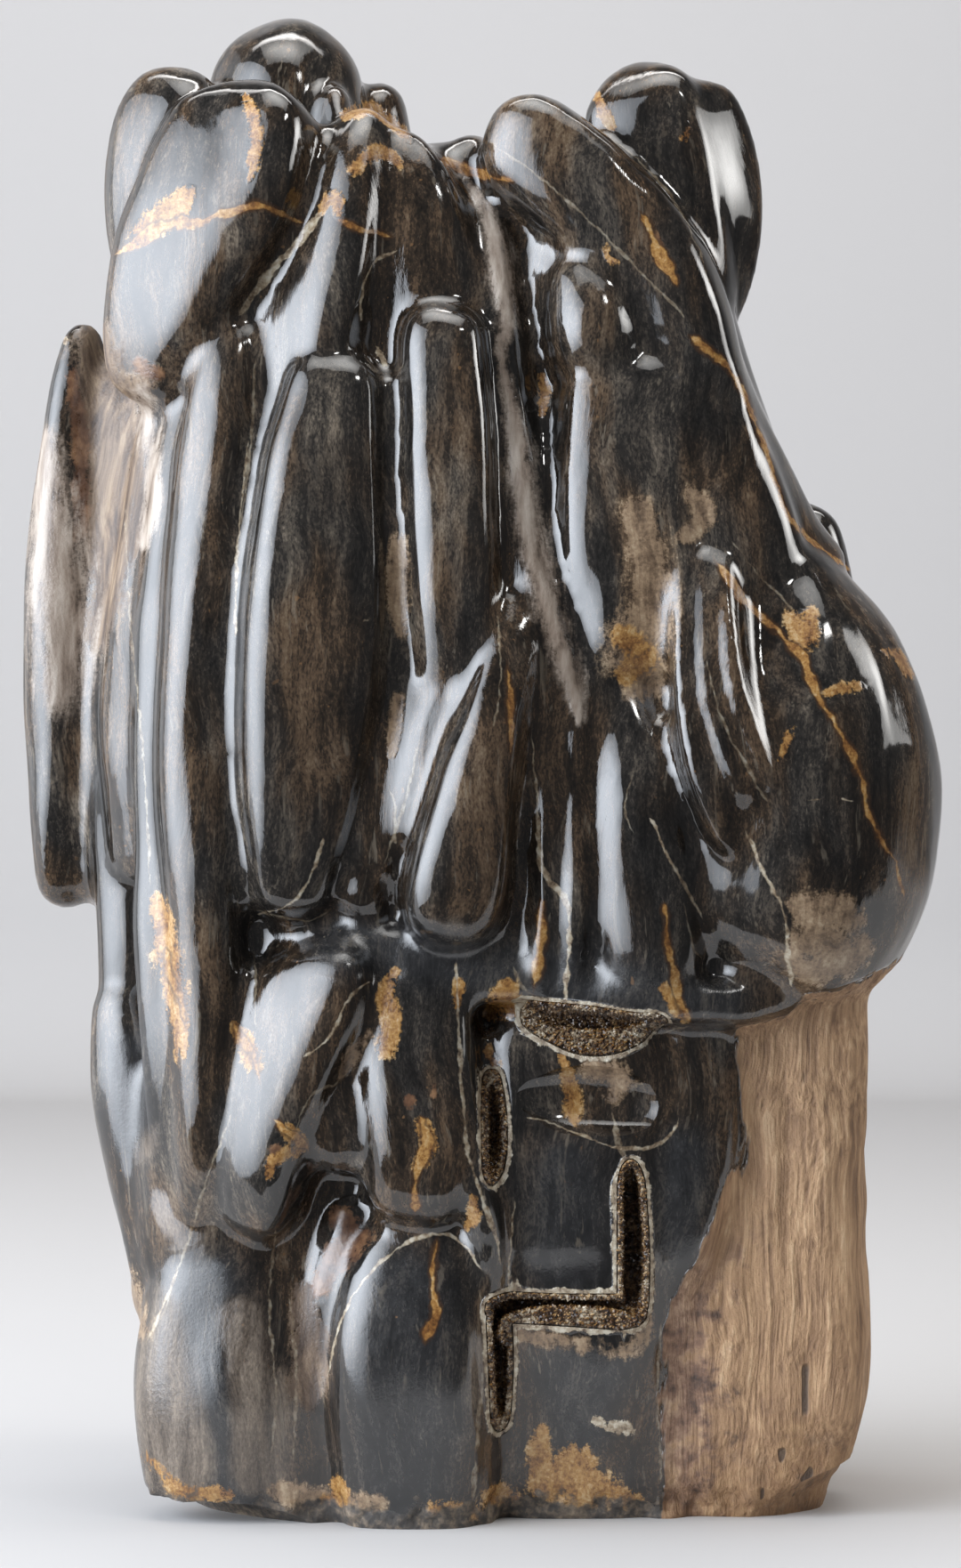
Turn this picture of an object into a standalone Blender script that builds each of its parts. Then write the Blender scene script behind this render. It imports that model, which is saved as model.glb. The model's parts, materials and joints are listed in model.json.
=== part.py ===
"""Petrified wood: one free-standing polished and raw piece of fossil trunk.

Metres, +Z up, front to -Y. The base rests flat on Z = 0 about the origin.
The trunk is built from long rounded lobes that are fused, thinned to plain
facets and cut flat underneath. Three hollows are then cut in the front and
each one is lined with a crust of crystals.
"""
import math
import random

import bmesh
import bpy
import numpy as np

MM = 0.001

# The fused body
GRAIN = 0.0026
FILLET = 0.0022
SMOOTHING_PASSES = 5
SPECK = 0.0001
FACETS = 6400

# The resting face
GROUND_SIZE = 0.400
GROUND_DEPTH = 0.100

# The crusts
WALL_GAP = 0.0003
CRUST_THICKNESS = 0.0013
MOUTH_REACH = 0.004

# Shape of each lobe's mesh, and of each hollow's
RIBS = 22
RINGS = 26
HOLLOW_RIBS = 12
HOLLOW_RINGS = 14

# Lobes: name, way it faces (degrees right of the front), squareness of the
# section (below 2 is a ridge, 2 is round, above 2 is boxy) and its spine in
# millimetres: across, depth, height, half width and half thickness.
CORE_LOBES = [
    ("trunk", 0, 2.2, [
        (0, 10, -40, 88, 62), (0, 10, 60, 88, 64), (0, 10, 150, 90, 64),
        (-2, 8, 230, 90, 62), (-8, 5, 300, 76, 54), (-14, 2, 360, 60, 46),
        (-18, 0, 405, 48, 34)]),
    ("heel", 0, 2.4, [
        (5, 20, -50, 90, 62), (5, 20, 20, 90, 62), (4, 20, 80, 86, 60)]),
    ("crown_bed", 0, 2.4, [
        (-30, -22, 408, 36, 20), (-30, -28, 380, 44, 28),
        (-24, -32, 345, 46, 30), (-20, -34, 310, 46, 30)]),
    ("crown_bed_right", 0, 2.4, [
        (6, -26, 404, 18, 18), (14, -32, 384, 30, 26),
        (22, -34, 355, 36, 28), (26, -36, 320, 38, 28)]),
    ("shoulder_bed", 0, 2.4, [
        (40, -30, 396, 18, 20), (50, -36, 372, 20, 24),
        (60, -38, 345, 20, 24), (70, -38, 315, 20, 24),
        (80, -36, 285, 24, 26)]),
    ("middle_left_bed", -4, 2.6, [
        (-52, -36, 368, 26, 22), (-56, -40, 330, 32, 28),
        (-60, -42, 280, 34, 29), (-60, -42, 225, 36, 29),
        (-60, -42, 180, 36, 28), (-58, -40, 140, 34, 26)]),
    ("middle_right_bed", 0, 2.6, [
        (16, -38, 350, 34, 26), (18, -42, 310, 42, 29),
        (20, -44, 250, 46, 31), (22, -44, 195, 46, 31),
        (24, -42, 150, 44, 28)]),
    ("left_bed", -22, 2.4, [
        (-88, -22, 352, 12, 18), (-96, -26, 315, 14, 20),
        (-101, -27, 270, 15, 22), (-102, -27, 220, 15, 22),
        (-100, -27, 170, 14, 22), (-96, -27, 120, 14, 20),
        (-90, -27, 50, 14, 20)]),
    ("low_left_bed", 0, 2.6, [
        (-50, -36, 176, 42, 28), (-50, -38, 125, 42, 29),
        (-50, -38, 70, 42, 28), (-48, -34, -14, 40, 26)]),
]

CROWN_LOBES = [
    ("crown_dome", 0, 2.1, [
        (-58, -12, 456, 19, 22), (-59, -12, 440, 23, 26),
        (-60, -12, 410, 28, 32), (-62, -12, 380, 27, 32),
        (-62, -10, 330, 24, 30)]),
    ("crown_dome_ridge", 10, 1.6, [
        (-45, -32, 432, 6, 8), (-44, -38, 415, 7, 12),
        (-48, -42, 395, 7, 12), (-52, -44, 375, 6, 10)]),
    ("small_crown", 0, 2.0, [
        (-33, 0, 437, 7, 10), (-31, 0, 427, 9, 12),
        (-29, 0, 405, 11, 16), (-26, 0, 370, 14, 20)]),
    ("left_back_oval", -34, 3.0, [
        (-86, -34, 436, 12, 9), (-93, -36, 421, 17, 12),
        (-97, -36, 402, 18, 13), (-99, -36, 384, 15, 11),
        (-96, -36, 362, 9, 9)]),
    ("left_oval", -30, 3.6, [
        (-66, -56, 430, 16, 11), (-70, -58, 414, 23, 14),
        (-77, -59, 393, 26, 16), (-86, -58, 373, 24, 16),
        (-94, -55, 353, 18, 14), (-98, -49, 331, 9, 11)]),
    ("left_oval_core", -12, 2.2, [
        (-68, -48, 420, 14, 16), (-72, -50, 400, 18, 20),
        (-78, -50, 375, 18, 20), (-84, -46, 350, 14, 16)]),
    ("oval_seam_fold", 5, 1.6, [
        (-48, -54, 394, 4, 8), (-57, -59, 376, 5, 9),
        (-68, -62, 356, 4, 8)]),
    ("centre_crown", -10, 1.6, [
        (-33, -46, 418, 12, 13), (-31, -49, 403, 16, 17),
        (-30, -50, 385, 20, 21), (-30, -50, 365, 24, 22),
        (-28, -49, 340, 27, 22), (-26, -47, 300, 27, 22)]),
    ("centre_crown_left", -38, 3.0, [
        (-32, -50, 420, 9, 9), (-37, -57, 402, 13, 12),
        (-43, -61, 380, 17, 13), (-50, -63, 358, 19, 14),
        (-55, -62, 335, 18, 13), (-57, -57, 310, 13, 12)]),
    ("centre_crown_right", 6, 2.8, [
        (-28, -48, 414, 8, 12), (-21, -53, 398, 12, 14),
        (-17, -56, 380, 16, 15), (-14, -57, 362, 19, 15),
        (-13, -57, 340, 18, 15), (-13, -53, 315, 14, 13)]),
    ("crown_back_left", 180, 2.1, [
        (-46, 32, 424, 14, 14), (-48, 38, 400, 18, 16),
        (-50, 43, 360, 20, 16), (-50, 46, 300, 18, 14)]),
    ("crown_back_middle", 180, 2.1, [
        (-12, 32, 417, 14, 13), (-14, 40, 392, 18, 15),
        (-14, 46, 350, 20, 14), (-12, 50, 300, 18, 12)]),
    ("crown_back_right", 170, 2.1, [
        (28, 24, 420, 13, 13), (30, 34, 396, 17, 15),
        (32, 42, 350, 19, 14), (34, 48, 300, 18, 12)]),
    ("crown_middle", 0, 2.0, [
        (8, -2, 415, 14, 14), (8, 2, 396, 20, 20),
        (6, 6, 366, 24, 24)]),
    ("knob_left", 0, 2.0, [
        (-15, -42, 413, 8, 9), (-13, -44, 400, 10, 13),
        (-11, -45, 378, 12, 15)]),
    ("knob_right", 0, 2.0, [
        (-2, -40, 416, 8, 9), (-3, -43, 403, 10, 12),
        (-2, -44, 380, 13, 15)]),
    ("right_crown", -10, 3.6, [
        (47, -33, 437, 13, 14), (50, -34, 425, 17, 18),
        (53, -35, 408, 19, 20), (56, -35, 390, 19, 20),
        (60, -34, 372, 17, 19), (61, -34, 335, 15, 18)]),
    ("right_crown_facet", 44, 4.6, [
        (61, -36, 431, 11, 6), (66, -38, 421, 14, 8),
        (70, -38, 407, 15, 8), (72, -38, 392, 14, 8),
        (72, -37, 376, 11, 7), (69, -35, 358, 7, 6)]),
    ("right_finger", -20, 3.0, [
        (1, -58, 415, 12, 11), (12, -61, 410, 15, 12),
        (25, -63, 401, 17, 13), (38, -64, 388, 17, 13),
        (50, -63, 373, 16, 13), (60, -62, 357, 14, 13),
        (69, -60, 341, 10, 12), (78, -56, 324, 8, 11),
        (87, -52, 306, 8, 11), (97, -48, 291, 8, 11),
        (108, -43, 279, 8, 11)]),
    ("right_finger_lip", 5, 1.8, [
        (4, -56, 402, 4, 8), (20, -61, 389, 5, 10),
        (36, -63, 375, 6, 11), (50, -63, 361, 6, 11),
        (62, -62, 345, 5, 10), (71, -59, 326, 4, 9),
        (79, -54, 305, 4, 8)]),
]

MIDDLE_LOBES = [
    ("right_knob", 5, 2.1, [
        (28, -58, 376, 9, 10), (32, -63, 362, 13, 14),
        (34, -64, 350, 14, 15), (36, -60, 334, 12, 13)]),
    ("right_slope", 20, 2.8, [
        (24, -46, 396, 12, 10), (31, -51, 376, 18, 12),
        (38, -54, 352, 22, 13), (44, -54, 330, 22, 13)]),
    ("crack_fill", 0, 2.4, [
        (1, -52, 396, 5, 8), (5, -60, 365, 6, 9),
        (9, -65, 335, 6, 9), (12, -68, 308, 7, 10),
        (15, -72, 283, 7, 10), (21, -75, 262, 7, 10),
        (27, -76, 240, 6, 9)]),
    ("right_bulge", 10, 3.2, [
        (44, -60, 349, 17, 12), (46, -64, 332, 23, 14),
        (47, -67, 308, 25, 15), (45, -68, 286, 22, 16),
        (44, -68, 264, 17, 16), (43, -67, 246, 13, 15)]),
    ("bulge_left_slope", -50, 2.4, [
        (26, -56, 342, 10, 8), (26, -58, 320, 13, 9),
        (28, -61, 295, 12, 9), (32, -62, 268, 9, 8)]),
    ("bulge_foot", 4, 2.4, [
        (54, -58, 268, 12, 12), (56, -63, 246, 13, 13),
        (58, -64, 222, 12, 13), (58, -62, 200, 10, 12)]),
    ("right_bulge_shoulder", 24, 2.8, [
        (60, -58, 342, 10, 11), (66, -60, 326, 15, 14),
        (72, -60, 306, 18, 17), (77, -58, 285, 20, 20),
        (82, -55, 262, 22, 22)]),
    ("right_under_bulge", 6, 2.4, [
        (40, -66, 252, 7, 9), (43, -72, 234, 11, 12),
        (46, -75, 212, 13, 14), (48, -76, 190, 15, 14),
        (50, -75, 170, 15, 14), (52, -71, 152, 10, 10)]),
    ("belly", 14, 2.1, [
        (80, -42, 296, 14, 18), (86, -46, 274, 26, 30),
        (91, -48, 250, 38, 40), (93, -49, 225, 45, 45),
        (92, -49, 200, 45, 45), (87, -47, 176, 39, 41),
        (78, -46, 150, 29, 31)]),
    ("belly_back", 50, 2.1, [
        (98, 2, 307, 9, 12), (100, 2, 290, 12, 16),
        (100, 2, 262, 16, 22), (98, 0, 225, 20, 30),
        (92, 4, 180, 20, 28)]),
    ("flute_outer", -14, 1.8, [
        (62, -72, 291, 4, 7), (59, -80, 268, 4, 9),
        (60, -85, 245, 4, 9), (63, -88, 225, 5, 9),
        (70, -88, 206, 5, 9), (76, -85, 198, 3, 6)]),
    ("flute_middle", -12, 1.7, [
        (67, -75, 288, 3, 6), (66, -82, 268, 4, 8),
        (67, -87, 247, 4, 8), (71, -91, 228, 4, 8),
        (78, -92, 212, 4, 7)]),
    ("flute_inner", -12, 1.7, [
        (72, -76, 285, 3, 6), (73, -84, 266, 4, 8),
        (75, -89, 247, 4, 8), (80, -92, 230, 4, 7),
        (86, -93, 216, 3, 6)]),
    ("centre_left_finger", 6, 3.4, [
        (-43, -70, 347, 13, 11), (-45, -73, 333, 15, 13),
        (-47, -75, 315, 18, 15), (-48, -76, 295, 20, 16),
        (-50, -77, 270, 21, 17), (-51, -77, 245, 21, 17),
        (-52, -77, 225, 19, 16), (-54, -75, 205, 16, 15),
        (-58, -72, 178, 10, 12)]),
    ("centre_finger", 0, 3.2, [
        (-10, -68, 360, 10, 10), (-11, -71, 347, 12, 12),
        (-10, -73, 325, 13, 14), (-9, -74, 300, 14, 15),
        (-8, -74, 275, 14, 15), (-8, -73, 255, 12, 14),
        (-11, -70, 232, 8, 11)]),
    ("slanting_finger", 4, 3.2, [
        (13, -74, 276, 4, 7), (9, -79, 258, 8, 11),
        (4, -82, 240, 10, 14), (0, -84, 222, 12, 15),
        (-4, -85, 205, 13, 16), (-7, -84, 188, 14, 15),
        (-9, -81, 172, 12, 12)]),
    ("fold_one", 0, 1.7, [
        (2, -74, 285, 3, 6), (-4, -79, 255, 4, 8),
        (-12, -81, 225, 4, 8), (-19, -81, 201, 3, 6)]),
    ("fold_two", 0, 1.7, [
        (-5, -72, 280, 3, 6), (-12, -77, 250, 4, 8),
        (-19, -79, 222, 4, 8), (-24, -78, 200, 3, 6)]),
    ("fold_three", 0, 1.7, [
        (-14, -70, 275, 3, 6), (-19, -74, 248, 4, 8),
        (-25, -76, 220, 4, 8), (-29, -75, 190, 4, 7)]),
    ("fold_four", 0, 1.7, [
        (-28, -70, 340, 3, 7), (-26, -73, 300, 4, 8),
        (-26, -74, 262, 4, 8), (-30, -75, 225, 4, 8),
        (-37, -76, 190, 4, 7)]),
    ("fold_base", 0, 2.0, [
        (-30, -68, 222, 8, 9), (-33, -71, 200, 9, 10),
        (-38, -71, 178, 10, 10)]),
    ("ledge_gap", 0, 2.4, [
        (-36, -60, 204, 13, 11), (-30, -62, 186, 13, 12),
        (-22, -62, 170, 12, 12)]),
    ("rib_zero", 0, 1.8, [
        (13, -70, 232, 4, 8), (12, -74, 205, 5, 9),
        (9, -73, 180, 7, 9), (6, -71, 160, 7, 8)]),
    ("rib_one", 0, 1.8, [
        (17, -75, 270, 4, 7), (19, -78, 240, 4, 9),
        (19, -79, 210, 5, 9), (18, -78, 180, 5, 9),
        (17, -75, 158, 4, 8)]),
    ("rib_two", 0, 1.8, [
        (26, -75, 264, 4, 7), (28, -78, 235, 4, 8),
        (28, -79, 205, 5, 9), (27, -79, 180, 5, 9),
        (26, -75, 156, 4, 8)]),
    ("rib_three", 0, 1.8, [
        (34, -73, 270, 3, 7), (35, -75, 235, 3, 8),
        (35, -76, 205, 3, 9), (34, -76, 175, 3, 8)]),
]

LEFT_LOBES = [
    ("far_blade", -32, 1.8, [
        (-122, -22, 361, 5, 7), (-123, -24, 345, 8, 11),
        (-124, -25, 322, 11, 14), (-124, -26, 295, 14, 16),
        (-124, -26, 262, 14, 18), (-125, -26, 230, 13, 17),
        (-126, -25, 205, 11, 15), (-126, -23, 181, 9, 12)]),
    ("far_panel", 16, 2.8, [
        (-109, -20, 350, 8, 10), (-108, -23, 330, 12, 14),
        (-107, -24, 300, 14, 15), (-107, -24, 268, 12, 15),
        (-106, -24, 235, 10, 14), (-104, -24, 200, 8, 12)]),
    ("left_wall", -70, 2.2, [
        (-96, 6, 392, 18, 10), (-104, 6, 350, 26, 14),
        (-107, 8, 290, 32, 17), (-104, 8, 220, 34, 17),
        (-96, 8, 150, 34, 15), (-88, 8, 90, 34, 13),
        (-86, 8, 30, 34, 13), (-84, 8, -30, 34, 13)]),
    ("low_blade", -20, 1.9, [
        (-110, -28, 262, 5, 8), (-109, -32, 228, 9, 12),
        (-108, -34, 198, 9, 13), (-105, -36, 176, 8, 11),
        (-101, -36, 157, 6, 9)]),
    ("left_finger_one", -36, 2.8, [
        (-90, -44, 352, 6, 6), (-93, -48, 322, 10, 9),
        (-96, -50, 296, 12, 10), (-98, -51, 270, 13, 11),
        (-100, -51, 245, 13, 11), (-101, -50, 220, 11, 10),
        (-102, -46, 190, 8, 8)]),
    ("left_finger_two", -34, 2.6, [
        (-86, -56, 336, 6, 6), (-89, -60, 305, 9, 9),
        (-91, -61, 272, 10, 10), (-92, -62, 240, 10, 11),
        (-92, -63, 205, 9, 11), (-92, -64, 170, 9, 11),
        (-91, -64, 140, 8, 10), (-91, -61, 112, 7, 9),
        (-91, -56, 88, 6, 8)]),
    ("left_finger_three", -32, 2.2, [
        (-71, -62, 357, 7, 8), (-74, -66, 342, 9, 11),
        (-77, -68, 320, 11, 12), (-79, -69, 295, 12, 13),
        (-81, -70, 265, 12, 14), (-82, -71, 235, 12, 14),
        (-82, -72, 205, 12, 14), (-81, -72, 175, 11, 13),
        (-80, -71, 150, 11, 12), (-80, -69, 122, 10, 12),
        (-82, -62, 88, 8, 10)]),
    ("dark_valley_ridge", 5, 1.7, [
        (-62, -62, 354, 3, 7), (-65, -66, 330, 4, 8),
        (-68, -69, 300, 4, 8), (-70, -71, 270, 4, 8),
        (-72, -72, 240, 4, 8), (-71, -71, 205, 4, 7)]),
]

LOWER_LOBES = [
    ("ledge_left", 0, 3.0, [
        (-70, -60, 174, 8, 9), (-45, -65, 171, 9, 12),
        (-20, -68, 167, 9, 13), (2, -69, 163, 8, 14),
        (20, -69, 162, 7, 14)]),
    ("ledge_right", 0, 3.0, [
        (8, -67, 163, 7, 12), (30, -70, 159, 7, 13),
        (55, -72, 156, 7, 13), (78, -69, 155, 7, 12),
        (98, -58, 160, 6, 10)]),
    ("shoulder_left", -34, 2.2, [
        (-107, -38, 162, 8, 8), (-105, -41, 145, 11, 11),
        (-104, -43, 124, 12, 12), (-101, -44, 102, 12, 12),
        (-97, -45, 80, 10, 12), (-94, -43, 52, 8, 10)]),
    ("foot_slope", -22, 2.4, [
        (-93, -50, 138, 9, 10), (-89, -53, 112, 14, 13),
        (-85, -54, 86, 19, 15), (-80, -50, 60, 20, 16)]),
    ("foot", -12, 2.9, [
        (-74, -46, 98, 13, 13), (-76, -50, 82, 20, 19),
        (-77, -50, 62, 24, 22), (-78, -49, 38, 26, 25),
        (-77, -47, 18, 25, 24), (-74, -42, -14, 22, 23)]),
    ("foot_right", -4, 2.6, [
        (-63, -54, 90, 9, 9), (-63, -58, 66, 12, 12),
        (-62, -58, 38, 13, 13), (-62, -56, 12, 13, 13),
        (-61, -54, -14, 11, 12)]),
    ("lower_slanting_finger", -30, 3.0, [
        (-48, -68, 174, 18, 11), (-49, -73, 157, 20, 14),
        (-54, -75, 138, 17, 14), (-60, -75, 118, 14, 13),
        (-64, -73, 101, 12, 12), (-66, -66, 86, 9, 10)]),
    ("lower_facet", -34, 2.6, [
        (-38, -70, 142, 8, 10), (-40, -74, 122, 9, 12),
        (-41, -74, 104, 8, 10)]),
    ("dark_block", 0, 3.0, [
        (-20, -68, 166, 13, 11), (-19, -74, 148, 16, 13),
        (-19, -76, 125, 17, 15), (-19, -75, 105, 16, 15),
        (-20, -71, 89, 14, 13)]),
    ("low_dome", -2, 3.2, [
        (-17, -62, 90, 14, 12), (-19, -66, 78, 19, 15),
        (-21, -67, 60, 22, 17), (-22, -66, 38, 23, 18),
        (-21, -63, 16, 22, 17), (-19, -58, -14, 18, 17)]),
    ("valley_fill", 0, 2.2, [
        (-38, -58, 99, 9, 11), (-42, -60, 80, 9, 12),
        (-48, -59, 60, 8, 12), (-50, -57, 35, 7, 12),
        (-50, -54, -14, 7, 12)]),
    ("centre_seam", 0, 2.0, [
        (-7, -72, 168, 4, 7), (-5, -77, 140, 4, 8),
        (-3, -78, 110, 4, 8), (2, -74, 85, 5, 7),
        (3, -70, 60, 5, 7), (1, -66, 30, 4, 7),
        (0, -60, -14, 4, 7)]),
    ("right_block", 0, 4.0, [
        (28, -42, 166, 26, 30), (28, -44, 140, 30, 32),
        (29, -45, 112, 31, 32), (29, -45, 85, 30, 31),
        (29, -43, 55, 28, 30), (28, -38, 25, 27, 27),
        (28, -34, -14, 26, 24)]),
    ("right_block_panel", 0, 4.5, [
        (25, -60, 105, 15, 16), (25, -61, 85, 15, 16),
        (25, -61, 68, 15, 15)]),
    ("dark_panel", 10, 3.2, [
        (62, -48, 160, 12, 14), (62, -52, 140, 13, 20),
        (61, -53, 112, 13, 21), (58, -52, 85, 12, 20),
        (54, -48, 60, 8, 18), (53, -44, 30, 7, 18),
        (53, -40, -14, 6, 18)]),
    ("raw_post", 0, 5.0, [
        (83, -32, 186, 30, 27), (84, -33, 155, 33, 31),
        (84, -33, 110, 32, 32), (84, -32, 65, 32, 32),
        (84, -31, 34, 32, 32), (80, -29, 14, 29, 31),
        (76, -26, -14, 26, 30)]),
    ("right_wall", 72, 2.4, [
        (88, 12, 190, 30, 14), (88, 14, 130, 34, 18),
        (88, 14, 70, 34, 18), (88, 14, 20, 34, 18),
        (86, 14, -30, 34, 16)]),
]

# Lobes of the back, set round the trunk in order from the seed below
BACK_SEED = 7
BACK_RING = [
    # how many, lowest and highest end, half width, distance outside the trunk
    (11, (-40, 60), (120, 210), (11, 18), 3),
    (10, (90, 150), (260, 330), (10, 17), 5),
    (8, (230, 280), (360, 410), (9, 15), 3),
]
BACK_CENTRE = (0, 8)
BACK_RADII = (86, 68)
BACK_NARROWING = 0.34
BACK_FROM = 80
BACK_TO = 280

# Chips broken from the underside edge, as lobes that are cut away
BASE_CHIPS = [
    ("chip_left", -20, 2.0, [
        (-44, -76, -8, 11, 12), (-62, -72, -8, 13, 14),
        (-80, -62, -8, 16, 16), (-97, -46, -8, 20, 18),
        (-108, -16, -8, 25, 18), (-108, 16, -8, 22, 16)]),
    ("chip_middle", 0, 2.0, [
        (10, -72, -8, 9, 9), (24, -70, -8, 13, 10),
        (40, -70, -8, 13, 10), (58, -72, -8, 8, 9)]),
    ("chip_right", 20, 2.0, [
        (66, -68, -10, 9, 10), (84, -66, -8, 16, 13),
        (100, -62, -8, 21, 16), (118, -46, -8, 28, 18),
        (124, -14, -8, 26, 18)]),
    ("chip_back", 180, 2.0, [
        (70, 82, -8, 12, 12), (20, 96, -8, 15, 16),
        (-40, 92, -8, 14, 14), (-84, 66, -8, 12, 12)]),
]

# Shallow dished faces of the dark block, also cut away
SCOOPS = [
    ("dish", 0, 2.0, [
        (6, -82, 128, 4, 6), (20, -86, 127, 12, 14),
        (36, -87, 126, 13, 16), (52, -85, 124, 10, 12),
        (62, -82, 122, 5, 6)]),
]

# Mounds of crystals along the lower lips of two hollows
MOUNDS = {
    "crust_crescent": [
        ("crescent_mound", 0, 2.0, [
            (13, -74, 146, 3, 5), (23, -75, 143, 4.5, 6),
            (33, -75, 141.5, 5, 7), (44, -75, 143, 4.5, 6),
            (53, -75, 147, 3, 5)])],
    "crust_corner": [
        ("corner_mound", 0, 2.2, [
            (5, -70, 57, 4, 6), (14, -72, 58, 6, 7),
            (26, -72, 58.5, 6.5, 7), (38, -72, 58, 6, 7),
            (48, -72, 56, 5, 6)])],
}

# Hollows: each is one or more lobe-shaped pieces, in the same terms
HOLLOWS = {
    "crust_crescent": [
        ("crescent", 0, 2.0, [
            (8, -80, 153, 4, 8), (18, -80, 149.5, 6, 12),
            (32, -80, 146.5, 8, 15), (45, -80, 147, 6, 12),
            (55, -79, 150.5, 3, 7)])],
    "crust_upper_slot": [
        ("upper_slot", 0, 2.4, [
            (3, -80, 137, 3, 8), (4, -80, 122, 4, 14),
            (4, -80, 110, 4, 13), (3, -80, 101, 3, 8)])],
    "crust_corner": [
        ("corner_upright", 0, 3.6, [
            (44, -76, 109, 4, 12), (45, -76, 84, 5, 15),
            (45, -76, 58, 5, 15)]),
        ("corner_level", 0, 3.6, [
            (1, -74, 65, 5, 13), (24, -76, 64, 5, 15),
            (50, -76, 63, 6, 15)]),
        ("corner_drop", 0, 3.0, [
            (5, -72, 68, 4, 12), (6, -72, 48, 4, 14),
            (6, -70, 26, 3, 10)])],
}

STONE_COLOUR = (0.05, 0.04, 0.03, 1.0)
STONE_ROUGHNESS = 0.12
CRUST_COLOUR = (0.42, 0.26, 0.12, 1.0)
CRUST_ROUGHNESS = 0.45


def clear_objects():
    for old in list(bpy.data.objects):
        bpy.data.objects.remove(old, do_unlink=True)


def new_collection(name):
    collection = bpy.data.collections.new(name)
    bpy.context.scene.collection.children.link(collection)
    return collection


def plain_material(name, colour, roughness):
    material = bpy.data.materials.new(name)
    material.use_nodes = True
    shader = material.node_tree.nodes["Principled BSDF"]
    shader.inputs["Base Color"].default_value = colour
    shader.inputs["Roughness"].default_value = roughness
    return material


def smooth_spine(rows, steps=16):
    """Points along a Catmull-Rom curve through the rows."""
    rows = np.array(rows, dtype=float)
    padded = np.vstack([2 * rows[0] - rows[1], rows, 2 * rows[-1] - rows[-2]])
    points = []
    for i in range(len(rows) - 1):
        a, b, c, d = padded[i:i + 4]
        for t in np.linspace(0.0, 1.0, steps, endpoint=False):
            points.append(0.5 * (2 * b + (c - a) * t
                                 + (2 * a - 5 * b + 4 * c - d) * t ** 2
                                 + (3 * b - a - 3 * c + d) * t ** 3))
    points.append(rows[-1])
    return np.array(points)


def unit_ball(ribs, rings):
    """One unit sphere mesh, the stock every lobe is drawn out from."""
    mesh = bmesh.new()
    bmesh.ops.create_uvsphere(mesh, u_segments=ribs, v_segments=rings, radius=1.0)
    data = bpy.data.meshes.new("unit_ball")
    mesh.to_mesh(data)
    mesh.free()
    return data


def unit_rows(vectors):
    return vectors / np.linalg.norm(vectors, axis=1)[:, None]


def signed_power(values, power):
    return np.sign(values) * np.abs(values) ** power


def round_over(distance, cap):
    """Share of the full width at a distance in from a rounded end."""
    return np.sqrt(1.0 - (1.0 - np.clip(distance / cap, 0.0, 1.0)) ** 2)


def lobe_points(ball, facing, squareness, rows, inset):
    """The unit ball's points moved on to one lobe, in metres."""
    curve = smooth_spine(rows)
    steps = np.linalg.norm(np.diff(curve[:, :3], axis=0), axis=1)
    along = np.concatenate([[0.0], np.cumsum(steps)])
    length = along[-1]
    reach = inset + (length - 2 * inset) * (1.0 - ball[:, 2]) / 2.0

    def on_curve(distances, columns):
        return np.stack([np.interp(distances, along, curve[:, k])
                         for k in columns], axis=1)

    place = on_curve(reach, range(5))
    tangent = unit_rows(on_curve(reach + 1.0, range(3))
                        - on_curve(reach - 1.0, range(3)))
    angle = math.radians(facing)
    outward = np.array([math.sin(angle), -math.cos(angle), 0.0])
    front = unit_rows(outward - tangent * (tangent @ outward)[:, None])
    side = np.cross(tangent, front)
    swell = np.minimum(
        round_over(reach - inset, 0.5 * (rows[0][3] + rows[0][4])),
        round_over(length - reach - inset, 0.5 * (rows[-1][3] + rows[-1][4])))
    turn = np.arctan2(ball[:, 1], ball[:, 0])
    across = signed_power(np.cos(turn), 2.0 / squareness) * swell
    out = signed_power(np.sin(turn), 2.0 / squareness) * swell
    half_width = np.maximum(place[:, 3] - inset, 0.2)
    half_depth = np.maximum(place[:, 4] - inset, 0.2)
    return (place[:, :3] + side * (across * half_width)[:, None]
            + front * (out * half_depth)[:, None]) * MM


def back_lobes():
    """Plain upright lobes round the sides and back, from one seed."""
    dice = random.Random(BACK_SEED)
    lobes = []
    for count, lowest, highest, widths, stand_off in BACK_RING:
        for i in range(count):
            share = (i + dice.uniform(0.2, 0.8)) / count
            facing = BACK_FROM + (BACK_TO - BACK_FROM) * share
            bottom = dice.uniform(*lowest)
            top = dice.uniform(*highest)
            half_width = dice.uniform(*widths)
            lean = dice.uniform(-9, 9)
            rows = []
            for step in range(5):
                height = top + (bottom - top) * step / 4
                narrow = 1 - BACK_NARROWING * max(0.0, (height - 200) / 210)
                turn = math.radians(facing + lean * (step - 2) / 2)
                radius_x = (BACK_RADII[0] + stand_off) * narrow
                radius_y = (BACK_RADII[1] + stand_off) * narrow
                x = BACK_CENTRE[0] + radius_x * math.sin(turn) * 0.94
                y = BACK_CENTRE[1] - radius_y * math.cos(turn) * 0.94
                taper = (0.55, 0.9, 1.0, 1.0, 0.8)[step]
                rows.append((x, y, height, half_width * taper,
                             half_width * taper))
            lobes.append(("back", facing, 2.0, rows))
    return lobes


def object_from(mesh, name, collection):
    data = bpy.data.meshes.new(name)
    mesh.to_mesh(data)
    mesh.free()
    made = bpy.data.objects.new(name, data)
    collection.objects.link(made)
    return made


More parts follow.
